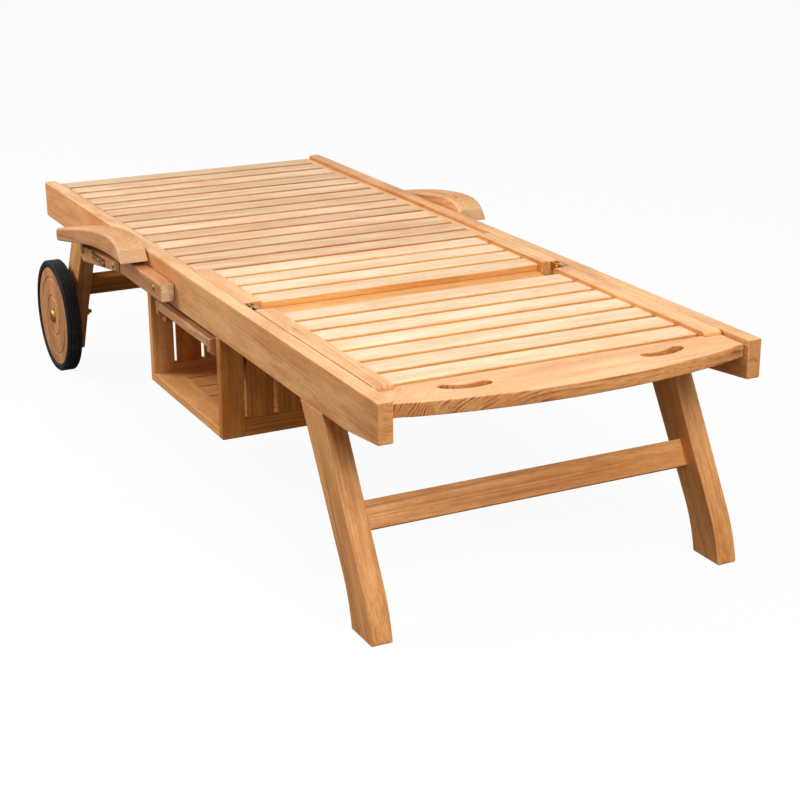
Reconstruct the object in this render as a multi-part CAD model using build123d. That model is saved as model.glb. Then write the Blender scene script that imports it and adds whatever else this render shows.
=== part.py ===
from build123d import *
import math
import os

# A folding teak sun lounger on two wheels: side rails, a back panel with a prop,
# a seat, a leg panel with a prop, folding armrests and a storage box with a tray.
# Millimetres. X runs across, Y towards the head, Z up. The floor is at Z 0.

os.makedirs("parts", exist_ok=True)

# Driving sizes of the whole lounger
rail_length = 2000.0
width = 790.0
height = 465.0
nose_reach = 38.0

# Side rails
rail_thick = 30.0
rail_depth = 90.0
rail_taper_length = 135.0
rail_taper_rise = 14.0

# Places along the rails, measured from their foot ends
knee_from_foot = 645.0
seat_stile_foot_from_foot = 667.0
seat_stile_head_from_foot = 957.0
seat_slats_start = 687.0
seat_slats_end = 965.0
leg_stile_start = 78.0
leg_stile_end = 621.0
leg_slats_start = 105.0
leg_slats_end = 598.0
end_board_back = 91.0
back_start = 980.0
back_hinge_from_foot = 1010.0

# Slats
slat_thick = 15.0
slat_gap = 14.0
slat_drop = 9.0
slat_edge = 2.5
seat_slat_count = 4
leg_slat_count = 7
back_slat_count = 14
slat_housing = 8.0

# Stiles of the seat and of the leg panel
stile_width = 39.0
stile_depth = 48.0
panel_gap = 2.0
stile_end_round = 12.0
stile_ease = 1.5

# Stiles of the back panel, with a lip beside the slats and a ledge under them
back_lip_width = 14.0
back_ledge_width = 18.5
back_stile_depth = 44.0
back_panel_gap = 2.5

# End board with its two hand slots
board_thick = 27.0
board_side_inset = 11.0
board_cove_inset = 2.0
board_cove_width = 34.0
slot_centre = 205.0
slot_length = 98.0
slot_width = 22.0
slot_bow = 9.0
slot_from_back = 50.0

# Front legs: straight down to the ankle, then curved to the foot
leg_thick = 43.0
rear_leg_thick = 38.0
front_leg_top_from_foot = 229.0
front_leg_ankle_from_foot = 70.0
front_leg_foot_from_foot = 34.0
front_leg_top_width = 97.0
front_leg_ankle_width = 85.0
front_leg_foot_width = 83.0
front_leg_ankle_height = 100.0
tenon_thick = 14.0
tenon_length = 45.0
tenon_inset = 16.0

# Rear legs, bent a little the other way, measured from the head ends of the rails
rear_leg_top_from_head = 326.0
rear_leg_top_width = 96.0
rear_leg_bottom_from_head = 143.0
rear_leg_bottom_width = 84.0
rear_leg_bottom_height = 42.0
rear_leg_bow = 9.0

# Stretchers between the legs
stretcher_thick = 25.0
stretcher_height = 54.0
stretcher_housing = 10.0
front_stretcher_level = 187.0
front_stretcher_setback = 12.0
rear_stretcher_level = 226.0
rear_stretcher_from_head = 188.0

# Wheels
wheel_diameter = 290.0
wheel_width = 37.0
axle_from_head = 160.0
tyre_depth = 17.0
tyre_groove_count = 4
tyre_groove_width = 3.0
tyre_groove_depth = 2.0
tyre_round = 3.0
disc_inset = 3.0
disc_groove_radii = (52.0, 100.0)
disc_groove_width = 5.0
disc_groove_depth = 2.5
wheel_gap = 11.0
axle_diameter = 12.0
running_clearance = 0.08
cap_diameter = 36.0
cap_height = 8.0
nut_size = 19.0
nut_height = 9.0
washer_thick = 2.0
washer_diameter = 30.0
side_clearance = 0.3

# Cross rails between the side rails
cross_rail_thick = 22.0
cross_rail_depth = 36.0
head_cross_from_head = 60.0
knee_board_width = 76.0
knee_board_thick = 17.0
knee_board_inset = 8.0
slat_rest_gap = 0.3

# Props and their racks
prop_bar_diameter = 14.0
prop_bar_end_gap = 3.0
prop_arm_thick = 18.0
prop_arm_depth = 20.0
rack_thick = 20.0
rack_height = 24.0
rack_clearance = 0.4
rack_notch_depth = 9.0
rack_end_length = 14.0
rack_end_margin = 18.0
back_angle = 65.0
back_hinge_drop = 35.0
back_prop_share = 10 / 33
back_prop_level = 5.0
back_notch_angles = (20.0, 31.0, 42.0, 53.0, 65.0)
leg_angle = 30.0
leg_prop_place = 210.0
leg_prop_level = 28.0
leg_notch_angles = (10.0, 20.0, 30.0)
back_bolt_diameter = 10.0
prop_bolt_diameter = 8.0
back_bolt_bite = 20.0
bolt_bite = 14.0

# Knee hinges: brass plates let into the stile ends, joined by a pin
knee_pin_drop = 7.0
knee_pin_diameter = 6.0
knee_plate_thick = 2.5
knee_plate_height = 14.0
knee_plate_bite = 22.0
knee_plate_nose = 7.0
knee_plate_gap = 0.3
knee_leg_plate_thick = 8.0
knee_plate_inset = 2.0
knee_pin_overhang = 1.0

# Armrests and the two posts that fold under each
arm_width = 64.0
arm_rail_gap = 3.0
arm_length = 521.0
arm_nose_from_foot = 1158.0
arm_crown_over_rail = 23.0
arm_fall = 73.0
arm_thick = 45.0
arm_end_thick = 32.0
arm_top_shares = ((0.0, 0.6), (0.029, 0.27), (0.086, 0.055), (0.19, 0.0),
                  (0.384, 0.137), (0.608, 0.404), (1.0, 1.0))
arm_under_shares = ((1.0, 1.0), (0.866, 0.8), (0.626, 0.417),
                    (0.4, 0.133), (0.19, 0.0), (0.0, 0.0))
post_thick = 32.0
post_gap = 0.4
post_height = 41.0
post_corner = 7.0
front_pivot_from_foot = 1041.0
front_pivot_below_top = 51.0
post_tail = 46.0
post_head = 26.0
post_top_below_top = 34.0
post_end_gap = 6.0
rear_pivot_lower = 18.0
link_reach = 244.0
link_fall = 16.0
rear_post_over_foot_pin = 12.0
rear_post_under_foot_pin = 11.0
rear_post_over_head_pin = 8.0
rear_post_under_head_pin = 31.0
rear_post_foot_tail = 11.0
rear_post_head_tail = 18.0
rear_post_chamfer = 13.0
post_bolt_diameter = 8.0
post_bolt_head = 14.0
post_bolt_head_height = 2.5
post_bolt_bite = 24.0
arm_pin_diameter = 6.0
bracket_thick = 2.5
bracket_width = 18.0
bracket_gap = 0.4
catch_length = 92.0
catch_height = 18.0
catch_thick = 3.0
catch_from_pivot = 112.0
catch_tooth_count = 5
catch_tooth_depth = 6.0
catch_tooth_share = 0.5

# Storage box under the seat, on the left side
box_start_from_foot = 736.0
box_end_share = 59 / 330
box_height = 219.0
box_stile_width = 51.0
box_slat_width = 57.0
box_slat_gap = 9.5
box_slat_count = 2
box_thick = 20.0
box_slat_thick = 14.0
box_bottom_rail = 38.0
box_top_rail = 36.0
box_floor_thick = 20.0
box_floor_slat_thick = 12.0
box_edge_board = 58.0
box_floor_gap = 5.0
box_floor_slat_count = 6

# Tray that slides out of the box opening
tray_depth = 232.0
tray_top_below_rail = 17.0
tray_side_height = 37.0
tray_end_chamfer = 9.0
tray_strip_height = 19.0
tray_strip_thick = 18.0
tray_side_thick = 16.0
tray_deck_thick = 8.0
tray_deck_gap = 6.0
tray_deck_count = 4
tray_runner_height = 68.0
tray_runner_inset = 20.0
tray_ledge_reach = 11.0
tray_ledge_thick = 13.0
tray_gap = 0.3
tray_from_box_start = 60.0
tray_from_box_end = 55.0

# One overrun serves all cuts that pass right through
overrun = 5.0

# Derived places
foot = -(rail_length + nose_reach) / 2 + nose_reach
head = foot + rail_length
rail_outer = width / 2
rail_inner = rail_outer - rail_thick
rail_top = height
rail_bottom = height - rail_depth
slat_top = height - slat_drop
slat_bottom = slat_top - slat_thick
stile_bottom = height - stile_depth
seat_stile_inner = rail_inner - stile_width
seat_foot = foot + seat_stile_foot_from_foot
seat_head = foot + seat_stile_head_from_foot
leg_stile_outer = rail_inner - panel_gap
leg_stile_inner = leg_stile_outer - stile_width
back_stile_outer = rail_inner - back_panel_gap
back_lip_inner = back_stile_outer - back_lip_width
back_stile_inner = back_lip_inner - back_ledge_width
back_stile_bottom = slat_top - back_stile_depth
wheel_radius = wheel_diameter / 2
axle_place = (head - axle_from_head, wheel_radius)
back_hinge_y = foot + back_hinge_from_foot
back_hinge_z = height - back_hinge_drop
back_prop_place = (rail_length - back_hinge_from_foot) * back_prop_share
knee_y = foot + knee_from_foot
knee_z = height - knee_pin_drop
rack_top = rail_bottom + rack_height
prop_bar_radius = prop_bar_diameter / 2

# Armrest linkage: the two posts and the armrest form a parallelogram
front_pivot = (foot + front_pivot_from_foot, height - front_pivot_below_top)
rear_pivot_ahead = link_reach + post_head + post_end_gap + rear_post_foot_tail
rear_pivot = (front_pivot[0] + rear_pivot_ahead, front_pivot[1] - rear_pivot_lower)
front_arm_pin = (front_pivot[0] + link_reach, front_pivot[1] - link_fall)
rear_arm_pin = (rear_pivot[0] + link_reach, rear_pivot[1] - link_fall)
post_inner = rail_outer + post_gap
post_outer = post_inner + post_thick
arm_inner = rail_outer + arm_rail_gap
arm_outer = arm_inner + arm_width


def block(xs, ys, zs):
    """A box between two values on each axis, given in any order."""
    lows = [min(pair) for pair in (xs, ys, zs)]
    highs = [max(pair) for pair in (xs, ys, zs)]
    middle = [(low + high) / 2 for low, high in zip(lows, highs)]
    return Pos(*middle) * Box(*[high - low for low, high in zip(lows, highs)])


def plate(outline, x_low, x_high):
    """A solid with a side outline in (Y, Z), between two X values."""
    face = make_face(Plane.YZ.offset(min(x_low, x_high)) * outline)
    return extrude(face, amount=abs(x_high - x_low), dir=(1, 0, 0))


def rod(x_low, x_high, place, diameter):
    """A round bar along X at a place given as (Y, Z)."""
    middle = Pos((x_low + x_high) / 2, place[0], place[1])
    return middle * Rot(0, 90, 0) * Cylinder(diameter / 2, abs(x_high - x_low))


def right(shape):
    """The same piece mirrored to the right side."""
    return mirror(shape, about=Plane.YZ)


def save(shape, name):
    """Write one node, which may hold several separate solids."""
    solids = list(shape.solids()) if hasattr(shape, "solids") else []
    if isinstance(shape, (list, tuple)):
        solids = [solid for piece in shape for solid in piece.solids()]
    export_step(Compound(children=solids), f"parts/{name}.step")
    print(name, len(solids))


def save_pair(shape, name):
    """Write a left piece and its mirrored right one as two nodes."""
    save(shape, "left_" + name)
    save(right(shape), "right_" + name)


def both(shape):
    """A left piece together with its mirrored right one."""
    return [shape, right(shape)]


def line_at(start, end, level):
    """The Y value at a level Z on the straight line between two (Y, Z) points."""
    share = (level - start[1]) / (end[1] - start[1])
    return start[0] + (end[0] - start[0]) * share


def lean_of(start, end):
    """The angle in degrees from vertical of the line between two (Y, Z) points."""
    return math.degrees(math.atan2(end[0] - start[0], start[1] - end[1]))


def prop_numbers(hinge_z, swing, place):
    """Rest drop, reach and rest place of a prop bar that skims the rack tops.

    The bar turns back by the angle that its panel rises, so its height stays on
    a cosine that is equal at both ends of the swing and lowest half way.
    """
    lowest = rack_top + rack_clearance + prop_bar_radius
    fall = hinge_z - lowest
    half_swing = math.radians(swing) / 2
    drop = fall * math.cos(half_swing)
    reach = place + fall * math.sin(half_swing)
    return drop, reach


def prop_bar_place(place, reach, level, drop, angle):
    """Distance from the hinge along the rail of the bar's centre at an angle."""
    turn = math.radians(angle)
    return (place + reach) * math.cos(turn) + (level * 2 - drop) * math.sin(turn)


back_drop, back_reach = prop_numbers(back_hinge_z, back_angle, back_prop_place)
leg_drop, leg_reach = prop_numbers(knee_z, leg_angle, leg_prop_place)
back_prop_pivot = (back_hinge_y + back_prop_place, back_hinge_z - back_prop_level)
back_bar_place = (back_hinge_y + back_prop_place + back_reach, back_hinge_z - back_drop)
leg_prop_pivot = (knee_y - leg_prop_place, knee_z - leg_prop_level)
leg_bar_place = (knee_y - leg_prop_place - leg_reach, knee_z - leg_drop)


# Legs

front_top = (foot + front_leg_top_from_foot, rail_bottom)
front_ankle = (foot + front_leg_ankle_from_foot, front_leg_ankle_height)
front_foot = (foot + front_leg_foot_from_foot, 0)
rear_top = (head - rear_leg_top_from_head, rail_bottom)
rear_foot = (head - rear_leg_bottom_from_head, rear_leg_bottom_height)
leg_outer = rail_outer
leg_inner = rail_outer - leg_thick
rear_leg_inner = rail_outer - rear_leg_thick


def shifted(point, amount):
    """A (Y, Z) point moved along Y."""
    return (point[0] + amount, point[1])


def bent_side(top, ankle, sole):
    """One edge of a front leg: a straight run to the ankle, then an arc."""
    run = (ankle[0] - top[0], ankle[1] - top[1])
    return Line(top, ankle) + TangentArc(ankle, sole, tangent=run)


def tenon(start, leg_width):
    """The tongue that holds a leg in its side rail."""
    middle = rail_outer - rail_thick / 2
    xs = (-middle - tenon_thick / 2, -middle + tenon_thick / 2)
    ys = (start + tenon_inset, start + leg_width - tenon_inset)
    return block(xs, ys, (rail_bottom, rail_bottom + tenon_length))


def front_leg():
    back_top = shifted(front_top, front_leg_top_width)
    back_ankle = shifted(front_ankle, front_leg_ankle_width)
    back_foot = shifted(front_foot, front_leg_foot_width)
    outline = bent_side(front_top, front_ankle, front_foot)
    outline += Line(front_foot, back_foot)
    outline += bent_side(back_top, back_ankle, back_foot)
    outline += Line(back_top, front_top)
    return plate(outline, -leg_outer, -leg_inner)


def bowed(start, end, bow):
    """An arc between two points that bulges by a distance towards the head."""
    middle = ((start[0] + end[0]) / 2 + bow, (start[1] + end[1]) / 2)
    return ThreePointArc(start, middle, end)


def rear_leg():
    back_top = shifted(rear_top, rear_leg_top_width)
    back_foot = shifted(rear_foot, rear_leg_bottom_width)
    outline = bowed(rear_top, rear_foot, rear_leg_bow)
    outline += Line(rear_foot, back_foot)
    outline += bowed(back_top, back_foot, rear_leg_bow)
    outline += Line(back_top, rear_top)
    leg = plate(outline, -leg_outer, -rear_leg_inner)
    return leg - rod(-leg_outer - overrun, -rear_leg_inner + overrun, axle_place, axle_diameter)


front_tenon = tenon(front_top[0], front_leg_top_width)
rear_tenon = tenon(rear_top[0], rear_leg_top_width)


def stretcher(middle, lean, inner):
    """A board between two legs, tilted with them and housed in their inner faces."""
    reach = inner + stretcher_housing
    return Pos(0, *middle) * Rot(lean, 0, 0) * Box(reach * 2, stretcher_thick, stretcher_height)


front_middle_y = line_at(front_top, front_ankle, front_stretcher_level) + front_leg_ankle_width / 2
front_stretcher_middle = (front_middle_y + front_stretcher_setback, front_stretcher_level)
front_stretcher = stretcher(front_stretcher_middle, lean_of(front_top, front_ankle), leg_inner)
rear_stretcher_middle = (head - rear_stretcher_from_head, rear_stretcher_level)
rear_stretcher = stretcher(rear_stretcher_middle, lean_of(rear_top, rear_foot), rear_leg_inner)
save_pair(front_leg() + front_tenon - front_stretcher, "front_leg")
save_pair(rear_leg() + rear_tenon - rear_stretcher, "rear_leg")
save(front_stretcher, "front_stretcher")
save(rear_stretcher, "rear_stretcher")


# Side rails

def side_rail():
    corners = ((foot, rail_top), (head, rail_top), (head, rail_bottom))
    corners += ((foot + rail_taper_length, rail_bottom), (foot, rail_bottom + rail_taper_rise))
    rail = plate(Polyline(*corners, close=True), -rail_outer, -rail_inner)
    rail -= front_tenon
    rail -= rear_tenon
    socket = back_bolt_diameter + running_clearance * 2
    rail -= rod(-rail_inner - back_bolt_bite, -rail_inner + overrun, (back_hinge_y, back_hinge_z), socket)
    for pivot in (front_pivot, rear_pivot):
        rail -= rod(-rail_outer - overrun, -rail_outer + post_bolt_bite, pivot, post_bolt_diameter)
    return rail


save_pair(side_rail(), "side_rail")


# Cross rails

box_start = foot + box_start_from_foot
box_end = back_hinge_y + (rail_length - back_hinge_from_foot) * box_end_share


def cross_rail(start, top):
    """A rail between the side rails that stands on edge."""
    return block((-rail_inner, rail_inner), (start, start + cross_rail_thick), (rail_bottom, top))


mid_rail_top = back_stile_bottom - slat_rest_gap
save(cross_rail(box_start, stile_bottom), "seat_cross_rail")
save(cross_rail(box_end - cross_rail_thick, mid_rail_top), "mid_cross_rail")
save(cross_rail(head - head_cross_from_head, mid_rail_top), "head_cross_rail")


def knee_board():
    """The flat board that closes the gap at the knee, fixed between the seat stiles."""
    top = slat_bottom
    start = foot + seat_slats_start + knee_board_inset - knee_board_width
    end = start + knee_board_width
    levels = (top - knee_board_thick, top)
    narrow = leg_stile_inner - panel_gap
    board = block((-narrow, narrow), (start, end), levels)
    return board + block((-seat_stile_inner, seat_stile_inner), (seat_foot, end), levels)


save(knee_board(), "knee_cross_rail")


# Rows of slats

def slat(xs, ys):
    """One slat with eased long edges on top."""
    piece = block(xs, ys, (slat_bottom, slat_top))
    return fillet(piece.edges().filter_by(Axis.X).group_by(Axis.Z)[-1], slat_edge)


def slat_row(reach, start, end, count):
    """A row of equal slats that fills a length with equal gaps."""
    slat_width = (end - start - slat_gap * (count - 1)) / count
    pitch = slat_width + slat_gap
    return [slat((-reach, reach), (start + pitch * i, start + pitch * i + slat_width)) for i in range(count)]


def housing(inner, start, end):
    """The groove in a left stile that takes the ends of its slats."""
    return block((-inner, -inner - slat_housing), (start, end), (slat_bottom, slat_top))


# Seat: fixed stiles with slats housed in them

def knee_slot(stile_end, direction, inner, outer):
    """The space that a hinge plate takes in the end of a stile."""
    ys = (stile_end, stile_end + direction * knee_plate_bite)
    return block((-inner, -outer), ys, (height - knee_plate_height, height))


plate_outer = leg_stile_outer - knee_plate_inset
plate_middle = plate_outer - knee_plate_thick - knee_plate_gap
plate_inner = plate_middle - knee_leg_plate_thick - knee_plate_gap
plate_last = plate_inner - knee_plate_thick
seat_slats_from = foot + seat_slats_start
seat_slats_to = foot + seat_slats_end


def seat_stile():
    stile = block((-rail_inner, -seat_stile_inner), (seat_foot, seat_head), (stile_bottom, height))
    stile = fillet(stile.edges().filter_by(Axis.Y).group_by(Axis.Z)[-1], stile_ease)
    stile -= housing(seat_stile_inner, seat_slats_from, seat_head)
    stile -= knee_slot(seat_foot, 1, plate_middle + knee_plate_gap, plate_outer)
    stile -= knee_slot(seat_foot, 1, plate_last, plate_inner)
    return stile


def seat_slats():
    return slat_row(seat_stile_inner + slat_housing, seat_slats_from, seat_slats_to, seat_slat_count)


def trim_last_slat(row):
    """Cut the ends off the slat that lies past the stiles' head ends."""
    beyond = (seat_head, seat_slats_to + overrun)
    waste = block((-seat_stile_inner, -rail_inner), beyond, (slat_bottom, slat_top))
    return [piece - waste - right(waste) for piece in row]


save_pair(seat_stile(), "seat_stile")
save(trim_last_slat(seat_slats()), "seat_slats")


# Knee hinges

def hinge_plate(stile_end, direction, inner, outer, bore):
    """A plate from inside a stile's end to just past the pin."""
    tip = knee_y - direction * knee_plate_nose
    ys = (stile_end + direction * knee_plate_bite, tip)
    body = block((-inner, -outer), ys, (height - knee_plate_height, height))
    return body - rod(-outer - overrun, -inner + overrun, (knee_y, knee_z), bore)


leg_head_end = foot + leg_stile_end
seat_plates = hinge_plate(seat_foot, 1, plate_middle + knee_plate_gap, plate_outer, knee_pin_diameter)
seat_plates_inner = hinge_plate(seat_foot, 1, plate_last, plate_inner, knee_pin_diameter)
leg_bore = knee_pin_diameter + running_clearance * 2
leg_plates = hinge_plate(leg_head_end, -1, plate_inner + knee_plate_gap, plate_middle, leg_bore)
pin_ends = (-plate_outer - knee_pin_overhang, -plate_last + knee_pin_overhang)
knee_pin = rod(*pin_ends, (knee_y, knee_z), knee_pin_diameter)
save(both(seat_plates) + both(seat_plates_inner), "knee_hinge_seat_plates")
save(both(leg_plates), "knee_hinge_leg_plates")
save(both(knee_pin), "knee_hinge_pins")


# Leg panel

leg_foot_end = foot + leg_stile_start
leg_slats_from = foot + leg_slats_start
leg_slats_to = foot + leg_slats_end
board_bottom = slat_top - board_thick


def leg_stile():
    stile = block((-leg_stile_outer, -leg_stile_inner), (leg_foot_end, leg_head_end), (stile_bottom, height))
    ends = stile.edges().filter_by(Axis.X).group_by(Axis.Z)[-1]
    stile = fillet(ends, stile_end_round)
    stile -= housing(leg_stile_inner, leg_slats_from, leg_slats_to)
    stile -= knee_slot(leg_head_end, -1, plate_inner + knee_plate_gap, plate_middle)
    rest_ys = (leg_foot_end, foot + end_board_back)
    rest = block((-leg_stile_outer, -leg_stile_inner), rest_ys, (board_bottom, slat_top))
    stile -= rest
    bolt = rod(-leg_stile_inner - bolt_bite, -leg_stile_inner + overrun, leg_prop_pivot, prop_bolt_diameter)
    return stile - bolt


def front_edge(x):
    """How far the end board's front reaches past the rail ends at an X value."""
    half = leg_stile_outer - board_cove_width
    return nose_reach - (nose_reach + board_cove_inset) * (x / half) ** 2


def end_board():
    """The shaped board at the foot with a bowed front and two curved hand slots."""
    half = leg_stile_outer
    cove = half - board_cove_width
    back = foot + end_board_back
    side = foot + board_side_inset
    shoulder = foot + board_cove_inset
    outline = Line((-half, back), (-half, side))
    outline += TangentArc((-half, side), (-cove, shoulder), tangent=(1, 0))
    outline += ThreePointArc((-cove, shoulder), (0, foot - nose_reach), (cove, shoulder))
    outline += TangentArc((half, side), (cove, shoulder), tangent=(-1, 0))
    outline += Line((half, side), (half, back))
    outline += Line((half, back), (-half, back))
    board = extrude(make_face(Plane.XY.offset(board_bottom) * outline), amount=board_thick)
    for sign in (-1, 1):
        board -= hand_slot(sign)
    return board


def hand_slot(sign):
    """A slot with round ends that follows the bowed front, and bows a little more itself."""
    mid_y = foot + end_board_back - slot_from_back
    run = (slot_length - slot_width) / 2
    spots = (slot_centre - run, slot_centre, slot_centre + run)
    bends = (slot_bow / 2, -slot_bow / 2, slot_bow / 2)
    rises = [front_edge(slot_centre) - front_edge(x) + bend for x, bend in zip(spots, bends)]
    points = [(sign * x, mid_y + rise) for x, rise in zip(spots, rises)]
    low = board_bottom - overrun
    tall = board_thick + overrun * 2
    centre_line = ThreePointArc(*points)
    sweep_face = make_face(offset_outline(centre_line, slot_width / 2))
    cut = extrude(Pos(0, 0, low) * sweep_face, amount=tall)
    for point in (points[0], points[-1]):
        cut += Pos(point[0], point[1], low + tall / 2) * Cylinder(slot_width / 2, tall)
    return cut


def offset_outline(centre_line, distance):
    """A closed band around an arc: two parallel arcs joined by straight ends."""
    def beside(share, side):
        spot = centre_line @ share
        along = centre_line % share
        return (spot.X - along.Y * side * distance, spot.Y + along.X * side * distance)

    shares = (0.0, 0.5, 1.0)
    upper = [beside(share, 1) for share in shares]
    lower = [beside(share, -1) for share in shares]
    band = ThreePointArc(*upper) + Line(upper[-1], lower[-1])
    band += ThreePointArc(*reversed(lower)) + Line(lower[0], upper[0])
    return band


def leg_head_rail():
    ys = (leg_slats_to - cross_rail_thick, leg_slats_to)
    return block((-leg_stile_inner, leg_stile_inner), ys, (stile_bottom, slat_bottom))


save_pair(leg_stile(), "leg_stile")
save(slat_row(leg_stile_inner + slat_housing, leg_slats_from, leg_slats_to, leg_slat_count), "leg_slats")
save(leg_head_rail(), "leg_head_rail")
save(end_board(), "end_board")


# Back panel

back_foot_end = foot + back_start
back_slats_to = head


def back_stile():
    """A stile with a lip level with the slats, a ledge under them and a bar notch."""
    levels = (back_stile_bottom, slat_top)
    stile = block((-back_stile_outer, -back_stile_inner), (back_foot_end, head), levels)
    stile = fillet(stile.edges().filter_by(Axis.X).group_by(Axis.Z)[0], stile_end_round)
    stile -= block((-back_lip_inner, -back_stile_inner + overrun), (back_foot_end - overrun, head + overrun),
                   (slat_bottom, slat_top + overrun))
    notch = prop_bar_diameter + rack_clearance * 2
    through = (-back_stile_outer - overrun, -back_stile_inner + overrun)
    stile -= rod(*through, back_bar_place, notch)
    stile -= rod(*through, (back_hinge_y, back_hinge_z), back_bolt_diameter)
    bite = (-back_stile_inner - bolt_bite, -back_stile_inner + overrun)
    return stile - rod(*bite, back_prop_pivot, prop_bolt_diameter)


def pivot_bolt():
    """The blind bolt that a stile of the back panel turns on."""
    ends = (-rail_inner - back_bolt_bite, -back_stile_inner)
    return rod(*ends, (back_hinge_y, back_hinge_z), back_bolt_diameter)


def prop_bolt(inner, place):
    """A bolt that carries a prop arm on the inner face of a stile, with a flat head."""
    tip = inner - side_clearance - prop_arm_thick - side_clearance
    shaft = rod(-inner - bolt_bite, -tip, place, prop_bolt_diameter)
    return shaft + rod(-tip, -tip + post_bolt_head_height, place, post_bolt_head)


save_pair(back_stile(), "back_stile")
save(slat_row(back_lip_inner, back_foot_end, back_slats_to, back_slat_count), "back_slats")
save(both(pivot_bolt()) + both(prop_bolt(back_stile_inner, back_prop_pivot)), "back_bolts")
save(both(prop_bolt(leg_stile_inner, leg_prop_pivot)), "leg_prop_bolts")


# Props

def prop_arm(inner, pivot, end):
    """An arm with round ends and a bore at each of them."""
    outer_face = inner - side_clearance
    faces = (-outer_face, -outer_face + prop_arm_thick)
    length = math.hypot(end[0] - pivot[0], end[1] - pivot[1])
    slope = math.degrees(math.atan2(end[1] - pivot[1], end[0] - pivot[0]))
    middle = ((pivot[0] + end[0]) / 2, (pivot[1] + end[1]) / 2)
    spot = Pos(sum(faces) / 2, *middle) * Rot(slope, 0, 0)
    arm = spot * Box(prop_arm_thick, length, prop_arm_depth)
    arm += rod(*faces, pivot, prop_arm_depth)
    arm += rod(*faces, end, prop_arm_depth)
    arm -= rod(faces[0] - overrun, faces[1] + overrun, pivot, prop_bolt_diameter + running_clearance * 2)
    return arm - rod(faces[0] - overrun, faces[1] + overrun, end, prop_bar_diameter)


def prop_bar(end):
    reach = rail_inner - prop_bar_end_gap
    return rod(-reach, reach, end, prop_bar_diameter)


save(both(prop_arm(back_stile_inner, back_prop_pivot, back_bar_place)), "back_prop_arms")
save(prop_bar(back_bar_place), "back_prop_bar")
save(both(prop_arm(leg_stile_inner, leg_prop_pivot, leg_bar_place)), "leg_prop_arms")
save(prop_bar(leg_bar_place), "leg_prop_bar")


# Racks on the inner faces of the side rails

def rack(places, stop_place, stop_level, direction):
    """A notched bar with a raised end that its panel rests on."""
    first = min(places + [stop_place])
    last = max(places + [stop_place])
    ys = (first - rack_end_margin, last + rack_end_margin)
    xs = (-rail_inner, -rail_inner + rack_thick)
    bar = block(xs, ys, (rail_bottom, rack_top))
    for place in places:
        centre = (place, rack_top - rack_notch_depth + prop_bar_radius)
        bar -= rod(xs[0] - overrun, xs[1] + overrun, centre, prop_bar_diameter)
        slot = block(xs, (place - prop_bar_radius, place + prop_bar_radius), (centre[1], rack_top))
        bar -= slot
    end = stop_place + direction * rack_end_margin
    stop = block(xs, (end - direction * rack_end_length, end), (rail_bottom, stop_level - slat_rest_gap))
    return bar + stop


back_places = [back_hinge_y + prop_bar_place(back_prop_place, back_reach, back_prop_level, back_drop, angle)
               for angle in back_notch_angles]
leg_places = [knee_y - prop_bar_place(leg_prop_place, leg_reach, leg_prop_level, leg_drop, angle)
              for angle in leg_notch_angles]
back_stop = back_bar_place[0] + rack_end_length
leg_stop = leg_bar_place[0] - rack_end_length
save(both(rack(back_places, back_stop, back_stile_bottom, 1)), "back_racks")
save(both(rack(leg_places, leg_stop, stile_bottom, -1)), "leg_racks")


# Wheels, turned about X

wheel_outer = leg_outer + wheel_gap + wheel_width
wheel_inner = leg_outer + wheel_gap


def revolved(points):
    """A ring about the axle from (X, radius) points of the left wheel."""
    flat = [Vector(x, axle_place[0], wheel_radius + radius) for x, radius in points]
    return revolve(make_face(Polyline(*flat, close=True)), Axis((0, *axle_place), (1, 0, 0)))


def tyre():
    inner_radius = wheel_radius - tyre_depth
    low = wheel_inner + tyre_round
    high = wheel_outer - tyre_round
    points = [(-wheel_inner, inner_radius), (-wheel_inner, wheel_radius - tyre_round), (-low, wheel_radius)]
    pitch = (high - low) / (tyre_groove_count + 1)
    for i in range(tyre_groove_count):
        middle = low + pitch * (i + 1)
        near = middle - tyre_groove_width / 2
        far = middle + tyre_groove_width / 2
        floor = wheel_radius - tyre_groove_depth
        points += [(-near, wheel_radius), (-near, floor), (-far, floor), (-far, wheel_radius)]
    points += [(-high, wheel_radius), (-wheel_outer, wheel_radius - tyre_round), (-wheel_outer, inner_radius)]
    return revolved(points)


def wheel():
    """A solid wooden disc with turned grooves on its outer face."""
    face = wheel_outer - disc_inset
    back = wheel_inner + disc_inset
    bore = axle_diameter / 2 + running_clearance
    rim = wheel_radius - tyre_depth
    points = [(-back, bore), (-back, rim), (-face, rim)]
    for radius in reversed(disc_groove_radii):
        high = radius + disc_groove_width / 2
        low = radius - disc_groove_width / 2
        points += [(-face, high), (-face + disc_groove_depth, radius), (-face, low)]
    points += [(-face, bore)]
    return revolved(points)


def wheel_bolt():
    """A stub axle with a domed cap, fixed in the rear leg."""
    face = wheel_outer - disc_inset + side_clearance
    tip = rear_leg_inner - washer_thick - nut_height
    rise = cap_height
    half = cap_diameter / 2
    shaft = axle_diameter / 2
    dome_radius = (half ** 2 + rise ** 2) / (rise * 2)
    slope = math.atan2(half, dome_radius - rise) / 2
    side = (face + rise - dome_radius + dome_radius * math.cos(slope), dome_radius * math.sin(slope))
    outline = [(face + rise, 0), side, (face, half), (face, shaft), (tip, shaft), (tip, 0)]
    spots = [Vector(-x, axle_place[0], wheel_radius + radius) for x, radius in outline]
    profile = ThreePointArc(*spots[:3]) + Polyline(*spots[2:], spots[0])
    return revolve(make_face(profile), Axis((0, *axle_place), (1, 0, 0)))


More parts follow.
